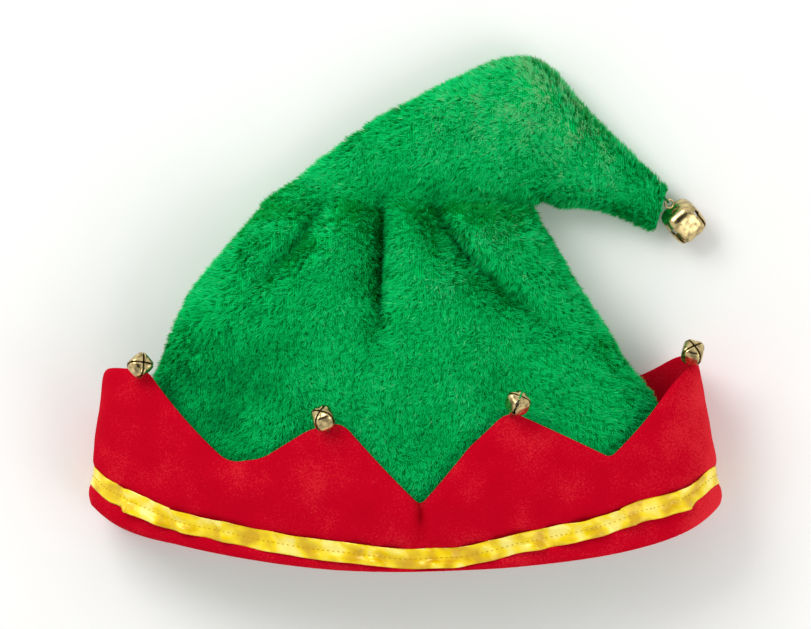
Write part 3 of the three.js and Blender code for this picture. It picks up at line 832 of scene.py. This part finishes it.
def sewing_thread(name, colour):
    """Spun polyester thread: two twisted plies, dull with a faint shine."""
    material, tree, shader = new_material(name)
    vector = object_coordinates(tree)
    plies = add_node(
        tree,
        "ShaderNodeTexWave",
        {"Scale": wave_scale(0.45), "bands_direction": "DIAGONAL"},
        vector,
    )
    ramp = add_node(tree, "ShaderNodeValToRGB", links={"Fac": plies.outputs["Fac"]})
    # Painted shade darkens the grooves between the twisted plies
    dark = tuple(0.6 * c for c in colour[:3]) + (1.0,)
    set_ramp(ramp, [(0, dark), (1, colour)])
    set_surface(tree, shader, ramp, None, 0.6, 0.2)
    return material


def brass_plate(settings):
    """Brass-plated pressed steel: a bright pale-gold mirror, slightly hazed, duller in cloudy patches."""
    material, tree, shader = new_material("brass_plate")
    vector = object_coordinates(tree)
    # Cloudy tarnish 3 mm across and polishing haze of 0.4 mm
    cloud = add_node(tree, "ShaderNodeTexNoise", {"Scale": noise_scale(3), "Detail": 4.0}, vector)
    haze = add_node(tree, "ShaderNodeTexNoise", {"Scale": noise_scale(0.4), "Detail": 2.0}, vector)
    ramp = add_node(tree, "ShaderNodeValToRGB", links={"Fac": cloud.outputs["Fac"]})
    set_ramp(ramp, [(0.35, settings.tarnish_colour), (0.6, settings.brass_colour)])
    rough = add_node(
        tree, "ShaderNodeMapRange", {"To Min": 0.14, "To Max": 0.32}, {"Value": haze.outputs["Fac"]}
    )
    tree.links.new(ramp.outputs["Color"], shader.inputs["Base Color"])
    tree.links.new(rough.outputs["Result"], shader.inputs["Roughness"])
    shader.inputs["Metallic"].default_value = 1.0
    return material


def tumbled_steel(settings):
    """Tumbled steel shot: a grey metal ball with a fine satin scatter of dents."""
    material, tree, shader = new_material("tumbled_steel")
    vector = object_coordinates(tree)
    # Tumbling dents of 0.5 mm
    dents = add_node(
        tree, "ShaderNodeTexNoise", {"Scale": noise_scale(0.5)}, vector
    )
    bump = add_node(
        tree, "ShaderNodeBump", {"Strength": 0.3, "Distance": 0.0001}, {"Height": dents.outputs["Fac"]}
    )
    tree.links.new(bump.outputs["Normal"], shader.inputs["Normal"])
    shader.inputs["Base Color"].default_value = settings.steel_colour
    shader.inputs["Metallic"].default_value = 1.0
    shader.inputs["Roughness"].default_value = 0.35
    return material


def paper_floor(settings):
    """Matt coated paper, as a studio floor: even and pale, with a trace of mottle."""
    material, tree, shader = new_material("matt_paper_floor")
    vector = object_coordinates(tree)
    # Paper mottle of 40 mm
    mottle = add_node(
        tree, "ShaderNodeTexNoise", {"Scale": noise_scale(40)}, vector
    )
    ramp = add_node(tree, "ShaderNodeValToRGB", links={"Fac": mottle.outputs["Fac"]})
    set_ramp(ramp, [(0, linear("#F4F4F2")), (1, settings.floor_colour)])
    set_surface(tree, shader, ramp, None, 0.95, 0.1)
    return material


def flag_velvet():
    """Black flocked velvet of a studio flag: it swallows light."""
    material, _, shader = new_material("black_flag_velvet")
    shader.inputs["Base Color"].default_value = linear("#0A0A0A")
    shader.inputs["Roughness"].default_value = 1.0
    shader.inputs["Specular IOR Level"].default_value = 0.0
    return material


def tangent_frame(rings):
    """Unit vectors at each corner of a ring grid: towards the tip, along the ring, and out of the cloth."""
    along = np.gradient(rings, axis=0)
    across = np.roll(rings, -1, axis=1) - np.roll(rings, 1, axis=1)
    out = np.cross(across, along)
    return [v / np.maximum(np.linalg.norm(v, axis=-1, keepdims=True), 1e-9) for v in (along, across, out)]


def pile_strands(rings, runs, turns, settings, tufts, seed):
    """Corners and tones of tufted strands that grow from the crown's rings."""
    rng = np.random.default_rng(seed)
    along, across, out = tangent_frame(rings)
    nexts = np.roll(rings, -1, axis=1)
    area = np.linalg.norm(np.cross(rings[1:] - nexts[:-1], nexts[1:] - rings[:-1]), axis=-1) / 2
    rise = np.sin(2 * np.pi * turns)
    beyond = past_cuff(rings, rise[None] >= 0)
    cover = (beyond[:-1] > -5) * mix(0.42, 1, smooth(rise, -0.35, 0.05))[None]
    weight = (area * cover).ravel()
    picks = rng.choice(weight.size, tufts, p=weight / weight.sum())
    i, j = np.unravel_index(picks, area.shape)
    a, b = rng.random((2, tufts, 1))
    k = (j + 1) % len(turns)

    def blend(grid):
        before = grid[i, j] * (1 - b) + grid[i, k] * b
        after = grid[i + 1, j] * (1 - b) + grid[i + 1, k] * b
        return before * (1 - a) + after * a

    centre, towards, sideways, normal = blend(rings), blend(along), blend(across), blend(out)
    normal = normal / np.linalg.norm(normal, axis=1, keepdims=True)
    clear = beyond[i, j]
    # The nap lies towards the rim and swirls a little
    swirl = layered_noise(centre, NAP_SWIRLS) + rng.normal(0, 0.45, tufts)
    nap = -towards * np.cos(swirl)[:, None] + sideways * np.sin(swirl)[:, None]
    flat = 1 - smooth(clear, -1, 5)
    lean = settings.pile_lean * (0.85 + 0.3 * rng.random(tufts)) * (1 - 0.25 * soft_noise(centre + 90, 9))
    lean = mix(lean, math.radians(COVERED_LEAN), flat)
    length = settings.pile_length / MM * (0.8 + 0.35 * rng.random(tufts)) * mix(1, COVERED_LENGTH, flat)
    tuft_tone = TUFT_TONE + TUFT_TONE_SCATTER * rng.normal(0, 1, tufts)
    tuft_tone = tuft_tone + 0.08 * soft_noise(centre + 200, 6) + 0.09 * soft_noise(centre + 700, 17)
    # Painted shade: pile in a fold is darker the deeper the fold
    tuft_tone -= FOLD_PAINTED_SHADE * (normal[:, 2] > 0) * gather_depth(centre[:, 0], centre[:, 1]) / CROWN_DEPTH
    # Painted light and shade in patches
    for across_at, up_at, reach, change in PILE_LIGHT_AND_SHADE_PATCHES:
        gap = np.hypot(centre[:, 0] - across_at, centre[:, 1] - up_at) / reach
        tuft_tone += change * np.exp(-(gap**2)) * (0.75 + 0.5 * soft_noise(centre + 300, 8))

    def spread(values):
        return np.repeat(values, STRANDS_PER_TUFT, axis=0)

    count = tufts * STRANDS_PER_TUFT
    radius = TUFT_RADIUS * np.sqrt(rng.random((count, 1)))
    angle = 2 * np.pi * rng.random((count, 1))
    offset = radius * (np.cos(angle) * spread(towards) + np.sin(angle) * spread(sideways))
    root = spread(centre) + offset - ROOT_DEPTH * spread(normal)
    own_length = spread(length)[:, None] * (0.78 + 0.4 * rng.random((count, 1)))
    own_lean = spread(lean)[:, None] + rng.normal(0, 0.16, (count, 1))
    own_nap = spread(nap) + rng.normal(0, 0.22, (count, 3))
    own_nap = own_nap - spread(normal) * np.sum(own_nap * spread(normal), axis=1, keepdims=True)
    own_nap = own_nap / np.linalg.norm(own_nap, axis=1, keepdims=True)
    low = spread(normal) * np.cos(0.5 * own_lean) + own_nap * np.sin(0.5 * own_lean)
    high = spread(normal) * np.cos(own_lean) + own_nap * np.sin(own_lean)
    middle = root + 0.5 * own_length * low - 0.08 * offset
    tip = middle + 0.5 * own_length * high - 0.2 * offset
    side = np.cross(tip - root, spread(normal)) + rng.normal(0, 0.25, (count, 3)) * own_length
    side = side / np.linalg.norm(side, axis=1, keepdims=True)
    half = settings.strand_width / MM / 2 * (0.75 + 0.5 * rng.random((count, 1)))
    broad, narrow = half * side, 0.8 * half * side
    corners = np.stack([root - broad, root + broad, middle - narrow, middle + narrow, tip], 1)
    corners[..., 2] = np.maximum(corners[..., 2], PILE_FLOOR_GAP)
    # A few strands catch the light
    glint = GLINT_TONE * (rng.random((count, 1)) < GLINT_SHARE) + rng.normal(0, 0.05, (count, 1))
    # Painted shade darkens each strand's root and painted light brightens its tip
    tones = spread(tuft_tone)[:, None] + ROOT_SHADE_TIP_LIGHT_TONES + glint
    return corners, np.clip(tones, 0, 1), spread(normal)


def strands_object(name, corners, tones, normals, material, own_share=0.28):
    """One mesh of strands from their corners, each turned to face out of the cloth."""
    count = len(corners)
    facing = np.cross(corners[:, 1] - corners[:, 0], corners[:, 4] - corners[:, 0])
    flip = np.sum(facing * normals, axis=1) < 0
    corners[flip] = corners[flip][:, [1, 0, 3, 2, 4]]
    facing[flip] *= -1
    facing = facing / np.maximum(np.linalg.norm(facing, axis=1, keepdims=True), 1e-9)
    start = np.arange(count)[:, None] * 5
    faces = (start[:, None] + np.array([[0, 1, 3], [0, 3, 2], [2, 3, 4]])[None]).reshape(-1, 3)
    obj = mesh_object(name, corners.reshape(-1, 3), faces, material)
    shade = normals * (1 - own_share) + facing * own_share
    shade = shade / np.linalg.norm(shade, axis=1, keepdims=True)
    obj.data.normals_split_custom_set_from_vertices(np.repeat(shade, 5, axis=0).tolist())
    tone = obj.data.attributes.new("pile_tone", "FLOAT", "POINT")
    tone.data.foreach_set("value", tones.astype(np.float32).ravel())
    return obj


class ELFHAT_OT_crown(bpy.types.Operator):
    """Make the gathered plush crown with its tail and pile"""

    bl_idname = "elf_hat.crown"
    bl_label = "Crown and Tail"

    def execute(self, context):
        settings = context.scene.elf_hat_crown
        outer, runs, turns = crown_rings(-PILE_SINK, RINGS_PER_SPAN)
        inner, _, _ = crown_rings(-PLUSH_WALL, 1)
        inner = inner[::-1]
        rings = np.concatenate([inner, outer])
        ends = np.array([inner[0].mean(axis=0), tip_point(outer[-1])])
        faces = grid_faces(len(rings), len(turns))
        first, last = len(rings) * len(turns), (len(rings) - 1) * len(turns)
        j = np.arange(len(turns))
        right = (j + 1) % len(turns)
        start_fan = np.stack([np.full(len(turns), first), right, j, j], -1)
        tip = np.full(len(turns), first + 1)
        end_fan = np.stack([last + j, last + right, tip, tip], -1)
        points = np.concatenate([rings.reshape(-1, 3), ends])
        triangles = np.concatenate(
            [faces[:, [0, 2, 1]], faces[:, [0, 3, 2]], start_fan[:, [0, 2, 1]], end_fan[:, [0, 2, 1]]]
        )
        crown = mesh_object("crown_cloth", points, triangles, plush_backing(settings))
        carry(crown, ["crown"])
        pile = plush_pile(settings)
        for i in range(PILE_PIECES):
            strands = pile_strands(outer, runs, turns, settings, TUFTS_PER_PIECE, 100 + i)
            piece = strands_object(f"crown_pile_{i + 1}", *strands, pile)
            carry(piece, [])
        return {"FINISHED"}


def cuff_outline(turn):
    """The cuff's closed profile at each turn, drawn finely, as runs and outs."""
    inside = cuff_inside(turn)
    outside = inside + CUFF_WALL
    edge = edge_run(turn)
    low = ribbon_low(turn) - CLEARANCE
    high = low + RIBBON_WIDTH + 2 * CLEARANCE
    belly = np.maximum(0, np.sin(2 * np.pi * turn))
    tuck = read_table(HEM_ROWS[:, 0], HEM_ROWS[:, 1], turn)
    rim = CLEARANCE - 2 * inside
    roll = [(HEM_ROLL * mix(a, c, tuck), HEM_ROLL * mix(b, d, tuck)) for a, b, c, d in HEM_OUTLINE]
    # Each corner of the profile, with the number of steps to the next one
    corners = [
        (edge, inside + CUFF_WALL / 2, 3),
        (edge - LIP_ROUND, inside, 5),
        ((edge + high) / 2, inside, 3),
        (high, inside, 1),
        (HEM_STRIP + 0 * turn, inside, 2),
        (rim, inside, 2),
        (rim, -PLUSH_WALL - 2 * CLEARANCE + 0 * turn, 3),
        *[(run, out, 3) for run, out in roll],
        (low - GROOVE_DEPTH / 2, outside, 2),
        (low, outside - GROOVE_DEPTH, 3),
        (high, outside - GROOVE_DEPTH, 2),
        (high + GROOVE_DEPTH / 2, outside, 11),
        ((edge + high) / 2, outside + belly, 11),
        (edge - LIP_ROUND, outside, 3),
    ]
    runs, outs = [], []
    for k, (run, out, steps) in enumerate(corners):
        next_run, next_out, _ = corners[(k + 1) % len(corners)]
        for step in range(steps):
            runs.append(mix(run, next_run, step / steps))
            outs.append(mix(out, next_out, step / steps))
    runs, outs = np.array(runs), np.array(outs)
    for _ in range(2):
        runs = 0.5 * runs + 0.25 * (np.roll(runs, 1, axis=0) + np.roll(runs, -1, axis=0))
        outs = 0.5 * outs + 0.25 * (np.roll(outs, 1, axis=0) + np.roll(outs, -1, axis=0))
    return runs, outs


class ELFHAT_OT_cuff(bpy.types.Operator):
    """Make the pointed velour cuff with its rolled hem"""

    bl_idname = "elf_hat.cuff"
    bl_label = "Cuff"

    def execute(self, context):
        settings = context.scene.elf_hat_cuff
        turns, length = even_turns(CUFF_COLUMNS)
        runs, outs = cuff_outline(turns[None])
        runs, outs = runs.reshape(-1, len(turns)), outs.reshape(-1, len(turns))
        grid_turns = np.broadcast_to(turns, runs.shape)
        plain = ring_point(cuff_ring(runs), grid_turns, outs)
        inside = cuff_inside(turns)[None]
        face = smooth(outs - inside, CUFF_WALL * 0.35, CUFF_WALL * 0.95)
        above = smooth(runs - ribbon_low(turns)[None], RIBBON_WIDTH, RIBBON_WIDTH + 5)
        lumps = layered_noise(plain, CUFF_LUMPS)
        # The cloth is pinched together below the sharp valley in front
        gap = np.abs(turns - PINCH_TURN) * length
        swell = SWELL_HEIGHT * np.exp(-(((gap - SWELL_DISTANCE) / SWELL_HALF_WIDTH) ** 2))
        pinch = PINCH_DEPTH * np.exp(-((gap / PINCH_HALF_WIDTH) ** 2)) - swell
        valley = float(edge_run(PINCH_TURN))
        opened = smooth(runs, valley - SLIT_SPAN[0], valley - SLIT_SPAN[1])
        slit = SLIT_DEPTH * np.exp(-((gap / SLIT_HALF_WIDTH) ** 2))[None] * opened
        groove = (pinch[None] * face + slit) * above
        outs = outs + face * settings.lump_height / MM * lumps * mix(0.35, 1, above) - groove
        points = pressed_flat(ring_point(cuff_ring(runs), grid_turns, outs), 0)
        faces = grid_faces(len(runs), len(turns), close_rows=True)
        cuff = mesh_object("cuff_cloth", points.reshape(-1, 3), faces, velour_nap(settings))
        carry(cuff, ["cuff"])
        return {"FINISHED"}


def ribbon_face(turn, across, settings, arc):
    """Run and out of the puckered ribbon's face, across from 0 at its lower edge to 1 at its upper edge."""
    seat = cuff_inside(turn) + CUFF_WALL - GROOVE_DEPTH + CLEARANCE
    spot = np.stack([arc + 9 * across, 9 * across, 0 * arc], -1)
    wide = np.stack([arc - 7 * across, 6 * across, 0 * arc + 60], -1)
    height, cell = SLANT_PUCKER
    pucker = height * soft_noise(spot, cell)
    height, cell = WIDE_PUCKER
    pucker = pucker + height * soft_noise(wide, cell)
    height, cell = FINE_PUCKER
    pucker = pucker + height * soft_noise(spot + 33, cell)
    # Sharp creases run slantwise across it
    slant = np.stack([arc + 6 * across, 3 * across, 0 * arc + 90], -1)
    height, cell = CREASE
    pucker = pucker + height * np.maximum(0, 1 - 6 * np.abs(soft_noise(slant, cell)))
    pinned = mix(0.4, 1, smooth(np.abs(across - 0.5), 0.02, 0.3))
    # The ribbon lies flat where it turns over the side folds
    loose = 1 - smooth(np.abs(np.cos(2 * np.pi * turn)), 0.9, 0.98)
    height = settings.pucker_height / MM * loose
    out = seat + RIBBON_THICKNESS * 0.75 + height * (0.5 + pucker) * pinned
    edge = np.stack([arc, 0 * arc + 20 * (across > 0.5), 0 * arc], -1)
    whole = np.stack([arc, 0 * arc, 0 * arc + 150], -1)
    sway = RIBBON_SWAY[0] * soft_noise(whole, RIBBON_SWAY[1])
    edge_sway = EDGE_SWAY[0] * soft_noise(edge, EDGE_SWAY[1])
    sway = (sway + edge_sway * (2 * np.abs(across - 0.5))) * loose
    # Where an edge sways past its seat it lies over the velour
    out = out + 0.9 * np.clip(sway * (2 * across - 1), 0, 1.4)
    run = ribbon_low(turn) + RIBBON_WIDTH * across + sway
    return run, np.maximum(out, seat + SATIN_THICKNESS)


class ELFHAT_OT_ribbon(bpy.types.Operator):
    """Make the puckered satin ribbon and its line of stitches"""

    bl_idname = "elf_hat.ribbon"
    bl_label = "Ribbon"

    def execute(self, context):
        settings = context.scene.elf_hat_ribbon
        turns, length = even_turns(RIBBON_COLUMNS)
        arc = np.arange(len(turns)) / len(turns) * length
        across = np.linspace(0, 1, RIBBON_ROWS)[:, None]
        grid_turns = np.broadcast_to(turns, (RIBBON_ROWS, len(turns)))
        run, out = ribbon_face(grid_turns, across + 0 * grid_turns, settings, arc + 0 * across)
        top = ring_point(cuff_ring(run), grid_turns, out)
        top = pressed_flat(top, RIBBON_FLOOR_GAP)
        back = ring_point(cuff_ring(run), grid_turns, out - SATIN_THICKNESS)
        back = pressed_flat(back, RIBBON_FLOOR_GAP + SATIN_THICKNESS)
        points = np.concatenate([top, back[::-1]])
        faces = grid_faces(len(points), len(turns), close_rows=True)
        ribbon = mesh_object("ribbon_satin", points.reshape(-1, 3), faces[:, ::-1], satin_weave(settings))
        carry(ribbon, ["ribbon"])
        stitches = self.stitches(settings, length)
        carry(stitches, [])
        return {"FINISHED"}

    def stitches(self, settings, length):
        """A line of lockstitches along the ribbon's middle, each a tapered bead of thread."""
        count = int(length / (settings.stitch_pitch / MM))
        turns, _ = even_turns(count * STITCH_STEPS)
        arc = np.arange(len(turns)) / len(turns) * length
        run, out = ribbon_face(turns, 0.5 + 0 * turns, settings, arc)
        # Five rings on every second step, and then a gap
        line, above = (
            ring_point(cuff_ring(run), turns, o).reshape(count, STITCH_STEPS, 3)[:, 1 : 2 * STITCH_RINGS : 2]
            for o in (out, out + 1)
        )
        up = above - line
        along = np.gradient(line, axis=1)
        along = along / np.linalg.norm(along, axis=-1, keepdims=True)
        up = up / np.linalg.norm(up, axis=-1, keepdims=True)
        side = np.cross(along, up)
        bulge = np.array([0.06, 0.18, 0.22, 0.18, 0.06])[None, :, None, None]
        sink = np.array([-0.2, 0.05, 0.12, 0.05, -0.2])[None, :, None]
        angle = 2 * np.pi * np.arange(STITCH_SIDES) / STITCH_SIDES
        around = np.cos(angle)[:, None] * side[:, :, None] + np.sin(angle)[:, None] * up[:, :, None]
        rings = (line + sink * up)[:, :, None] + bulge * around
        faces = grid_faces(STITCH_RINGS, STITCH_SIDES)
        starts = np.arange(count)[:, None, None] * (STITCH_RINGS * STITCH_SIDES)
        faces = (starts + faces[None]).reshape(-1, 4)
        material = sewing_thread("ribbon_thread", tuple(settings.thread_colour))
        rings = pressed_flat(rings, RIBBON_FLOOR_GAP / 2)
        return mesh_object("ribbon_stitches", rings.reshape(-1, 3), faces, material)


def petal_ball(diameter, around, bands, lips, slot_top):
    """A ball pressed towards four flat petals and a flat bottom, with raised lips beside its slots."""
    mesh = bmesh.new()
    bmesh.ops.create_uvsphere(mesh, u_segments=around, v_segments=bands, radius=diameter / 2)
    # Half a step round, so that no corner lies in the middle of a slot
    bmesh.ops.rotate(mesh, verts=mesh.verts, matrix=Matrix.Rotation(math.pi / around, 3, "Z"))
    widest = 2 ** (1 / 2 - 1 / PETAL_POWER)
    for vert in mesh.verts:
        x, y, z = vert.co / (diameter / 2)
        square = (abs(x) ** PETAL_POWER + abs(y) ** PETAL_POWER + abs(z) ** PETAL_POWER) ** (1 / PETAL_POWER)
        x, y, z = (c * diameter / 2 / square / widest for c in (x, y, z))
        if lips and z < slot_top + LIP_RISE:
            gap = min(abs(x - y), abs(x + y)) / math.sqrt(2)
            off = (gap - LIP_DISTANCE * diameter) / (LIP_HALF_WIDTH * diameter)
            push = 1 + lips * math.exp(-(off**2))
            x, y, z = x * push, y * push, z * push
        vert.co = (x, y, z)
    return mesh


def cut_away(shell, tool):
    """Cuts one mesh object out of another and removes it."""
    cut = shell.modifiers.new("cut", "BOOLEAN")
    cut.object = tool
    cut.operation = "DIFFERENCE"
    cut.solver = "EXACT"
    with bpy.context.temp_override(object=shell, active_object=shell):
        bpy.ops.object.modifier_apply(modifier=cut.name)
    bpy.data.objects.remove(tool)


def loose_object(name, mesh):
    """An object of the scene from a bmesh."""
    data = bpy.data.meshes.new(name)
    mesh.to_mesh(data)
    mesh.free()
    obj = bpy.data.objects.new(name, data)
    bpy.context.scene.collection.objects.link(obj)
    return obj


def torus(bends, sides, ring_radius, wire_radius):
    """Corners and quads of a torus round Y, centred on the origin."""
    turn = 2 * np.pi * np.arange(bends) / bends
    roll = 2 * np.pi * np.arange(sides) / sides
    radius = ring_radius + wire_radius * np.cos(roll)[None]
    x, z = radius * np.cos(turn)[:, None], radius * np.sin(turn)[:, None]
    y = wire_radius * np.sin(roll)[None] + 0 * x
    return np.stack([x, y, z], -1).reshape(-1, 3), grid_faces(bends, sides, close_rows=True)


def bell_mesh(name, diameter, slot, loop, facets, material):
    """A hollow pressed bell with crossed slots below and its wire loop on top, in metres."""
    radius = diameter / 2
    slot_top = radius * SLOT_TOP_SHARE
    hole_radius = slot * HOLE_SHARE
    shell = loose_object(name, petal_ball(diameter, facets, facets * 5 // 8, LIP_HEIGHT, slot_top))
    cut_away(shell, loose_object("hollow", petal_ball(diameter - 2 * BELL_WALL, 40, 24, 0, slot_top)))
    for angle in (math.pi / 4, -math.pi / 4):
        blade = bmesh.new()
        bmesh.ops.create_cube(blade, size=1)
        blade.transform(
            Matrix.Rotation(angle, 4, "Z")
            @ Matrix.Translation((0, 0, slot_top - radius))
            @ Matrix.Diagonal((slot, 2 * diameter, diameter, 1))
        )
        cut_away(shell, loose_object("blade", blade))
        hole = bmesh.new()
        bmesh.ops.create_cone(
            hole, cap_ends=True, segments=20, radius1=hole_radius, radius2=hole_radius, depth=2 * diameter
        )
        hole.transform(
            Matrix.Rotation(angle, 4, "Z")
            @ Matrix.Translation((0, 0, slot_top))
            @ Matrix.Rotation(math.pi / 2, 4, "X")
        )
        cut_away(shell, loose_object("hole", hole))
    points, quads = torus(28, 10, (loop - WIRE_DIAMETER) / 2, WIRE_DIAMETER / 2)
    points = points + [0, 0, radius + loop / 2 - WIRE_DIAMETER * LOOP_SINK]
    mesh = bmesh.new()
    mesh.from_mesh(shell.data)
    bpy.data.objects.remove(shell)
    corners = [mesh.verts.new(p) for p in points]
    for quad in quads:
        mesh.faces.new([corners[k] for k in quad])
    mesh.transform(Matrix.Scale(MM, 4))
    data = bpy.data.meshes.new(name)
    mesh.to_mesh(data)
    mesh.free()
    data.materials.append(material)
    data.polygons.foreach_set("use_smooth", [True] * len(data.polygons))
    data.set_sharp_from_angle(angle=math.radians(40))
    return data


def bell_threads(name, diameter, loop, material):
    """Three turns of thread through a bell's loop into the cloth, in metres."""
    far = diameter / 2 + loop - WIRE_DIAMETER * LOOP_SINK - WIRE_DIAMETER / 2
    points, faces = [], []
    for i, (lean, size) in enumerate([(-14, 1.0), (3, 1.12), (17, 0.95)]):
        ring, quads = torus(20, 6, loop * 0.34 * size, 0.2)
        spin = np.array((Matrix.Rotation(math.radians(90 + lean), 3, "Z")))
        points.append(ring @ spin.T + [0, 0, far + loop * 0.1])
        faces.append(quads + i * len(ring))
    data = bpy.data.meshes.new(name)
    data.from_pydata((np.concatenate(points) * MM).tolist(), [], np.concatenate(faces).tolist())
    data.polygons.foreach_set("use_smooth", [True] * len(data.polygons))
    data.materials.append(material)
    return data


class ELFHAT_OT_bells(bpy.types.Operator):
    """Make the jingle bells with their loops, threads and pellets"""

    bl_idname = "elf_hat.bells"
    bl_label = "Jingle Bells"

    def execute(self, context):
        settings = context.scene.elf_hat_bells
        brass = brass_plate(settings)
        steel = tumbled_steel(settings)
        red = sewing_thread("red_thread", linear("#A80A1C"))
        green = sewing_thread("green_thread", linear("#0A7A3A"))
        facets = settings.facets
        point = bell_mesh("point_bell", POINT_BELL_DIAMETER, BELL_SLOT, POINT_LOOP_DIAMETER, facets, brass)
        point_thread = bell_threads("point_thread", POINT_BELL_DIAMETER, POINT_LOOP_DIAMETER, red)
        sizes = (POINT_BELL_DIAMETER, PELLET_DIAMETER, PELLET_PLAY * CLEARANCE)
        for i, pose in enumerate(BELL_SEATS[:, 3:].tolist()):
            names = (f"point_bell_{i + 1}", f"point_bell_pellet_{i + 1}", f"point_thread_{i + 1}")
            self.hang(names, point, point_thread, pose, sizes, steel)
        tip = bell_mesh("tip_bell", TIP_BELL_DIAMETER, TIP_BELL_SLOT, TIP_LOOP_DIAMETER, facets, brass)
        tip_thread = bell_threads("tip_thread", TIP_BELL_DIAMETER, TIP_LOOP_DIAMETER, green)
        names = ("tip_bell", "tip_bell_pellet", "tip_thread")
        sizes = (TIP_BELL_DIAMETER, TIP_PELLET_DIAMETER, TIP_PELLET_PLAY * CLEARANCE)
        self.hang(names, tip, tip_thread, TIP_BELL_POSE, sizes, steel)
        return {"FINISHED"}

    def hang(self, names, mesh, thread, pose, sizes, steel):
        """Puts a bell, its pellet and its thread where their solids are."""
        bell_name, pellet_name, thread_name = names
        diameter, pellet_diameter, play = sizes
        low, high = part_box(pellet_name)
        pellet_place = (low + high) / 2
        rest = diameter / 2 - BELL_WALL - pellet_diameter / 2 - play
        heading, climb, roll = (math.radians(x) for x in pose)
        axis = Vector(
            (math.sin(heading) * math.cos(climb), math.cos(heading) * math.cos(climb), math.sin(climb))
        )
        turn = Vector((0, 0, 1)).rotation_difference(-axis) @ Quaternion((0, 0, 1), roll)
        place = Matrix.Translation(pellet_place + Vector((0, 0, rest * MM))) @ turn.to_matrix().to_4x4()
        bell = bpy.data.objects.new(f"{bell_name}_brass", mesh)
        sewn = bpy.data.objects.new(thread_name, thread)
        ball = bmesh.new()
        bmesh.ops.create_icosphere(ball, subdivisions=3, radius=pellet_diameter / 2 * MM)
        pellet_mesh = bpy.data.meshes.new(pellet_name)
        ball.to_mesh(pellet_mesh)
        ball.free()
        pellet_mesh.polygons.foreach_set("use_smooth", [True] * len(pellet_mesh.polygons))
        pellet_mesh.materials.append(steel)
        pellet = bpy.data.objects.new(f"{pellet_name}_steel", pellet_mesh)
        for obj in (bell, sewn, pellet):
            bpy.context.scene.collection.objects.link(obj)
        bell.matrix_world = place
        sewn.matrix_world = place
        pellet.matrix_world = Matrix.Translation(pellet_place)
        carry(bell, [bell_name])
        carry(pellet, [pellet_name])
        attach(sewn, "root")


class ELFHAT_OT_stage(bpy.types.Operator):
    """Make the studio floor, the soft light and the camera"""

    bl_idname = "elf_hat.stage"
    bl_label = "Stage"

    def execute(self, context):
        settings = context.scene.elf_hat_stage
        mesh = bmesh.new()
        bmesh.ops.create_grid(mesh, x_segments=8, y_segments=8, size=12)
        floor = loose_object("studio_floor", mesh)
        floor.data.materials.append(paper_floor(settings))
        mesh = bmesh.new()
        bmesh.ops.create_grid(mesh, x_segments=1, y_segments=1, size=0.72)
        # A black flag overhead, as round a real camera, for the bells to mirror
        flag = loose_object("black_flag", mesh)
        flag.data.materials.append(flag_velvet())
        flag.location = (0.15, 0, 2.2)
        flag.visible_camera = False
        world = bpy.data.worlds.new("soft_sky")
        world.use_nodes = True
        backdrop = world.node_tree.nodes["Background"]
        backdrop.inputs["Color"].default_value = (1, 1, 1, 1)
        backdrop.inputs["Strength"].default_value = settings.sky_strength
        context.scene.world = world
        # Softboxes: name, place, width, share of the key power
        for name, place, width, share in [
            ("key_softbox", (-0.9, 1.0, 1.3), 1.0, 1.0),
            ("fill_softbox", (1.2, -0.7, 1.2), 1.2, 0.45),
        ]:
            lamp = bpy.data.lights.new(name, "AREA")
            lamp.energy = settings.key_power * share
            lamp.size = width
            box = bpy.data.objects.new(name, lamp)
            context.scene.collection.objects.link(box)
            box.location = place
            box.rotation_euler = (-Vector(place)).to_track_quat("-Z", "Y").to_euler()
            box.visible_camera = False
        lens = bpy.data.cameras.new("camera")
        camera = bpy.data.objects.new("camera", lens)
        context.scene.collection.objects.link(camera)
        # The photograph's middle is a little off the hat's
        camera.location = (*PHOTO_MIDDLE, settings.camera_height)
        lens.sensor_width = 36
        distance = settings.camera_height - FOCUS_HEIGHT
        lens.lens = lens.sensor_width * distance / (PHOTO_WIDTH * PHOTO_PIXEL)
        lens.clip_end = 100
        context.scene.camera = camera
        context.scene.view_settings.view_transform = "Standard"
        context.scene.view_settings.look = "None"
        return {"FINISHED"}


class ELFHAT_PT_panel(bpy.types.Panel):
    """The hat's pieces and their sizes and colours"""

    bl_idname = "ELFHAT_PT_panel"
    bl_label = "Elf Hat"
    bl_space_type = "VIEW_3D"
    bl_region_type = "UI"
    bl_category = "Elf Hat"

    def draw(self, context):
        for name, operator in PARTS:
            box = self.layout.box()
            settings = getattr(context.scene, name)
            for key in type(settings).__annotations__:
                box.prop(settings, key)
            box.operator(operator.bl_idname)


PARTS = [
    ("elf_hat_stage", ELFHAT_OT_stage),
    ("elf_hat_crown", ELFHAT_OT_crown),
    ("elf_hat_cuff", ELFHAT_OT_cuff),
    ("elf_hat_ribbon", ELFHAT_OT_ribbon),
    ("elf_hat_bells", ELFHAT_OT_bells),
]

SETTINGS = {
    "elf_hat_stage": StageSettings,
    "elf_hat_crown": CrownSettings,
    "elf_hat_cuff": CuffSettings,
    "elf_hat_ribbon": RibbonSettings,
    "elf_hat_bells": BellSettings,
}


def register():
    for name, group in SETTINGS.items():
        bpy.utils.register_class(group)
        setattr(bpy.types.Scene, name, PointerProperty(type=group))
    for _, operator in PARTS:
        bpy.utils.register_class(operator)
    bpy.utils.register_class(ELFHAT_PT_panel)


def unregister():
    bpy.utils.unregister_class(ELFHAT_PT_panel)
    for _, operator in reversed(PARTS):
        bpy.utils.unregister_class(operator)
    for name, group in SETTINGS.items():
        delattr(bpy.types.Scene, name)
        bpy.utils.unregister_class(group)


def main():
    register()
    bpy.ops.elf_hat.stage()
    bpy.ops.elf_hat.crown()
    bpy.ops.elf_hat.cuff()
    bpy.ops.elf_hat.ribbon()
    bpy.ops.elf_hat.bells()


if __name__ == "__main__":
    main()
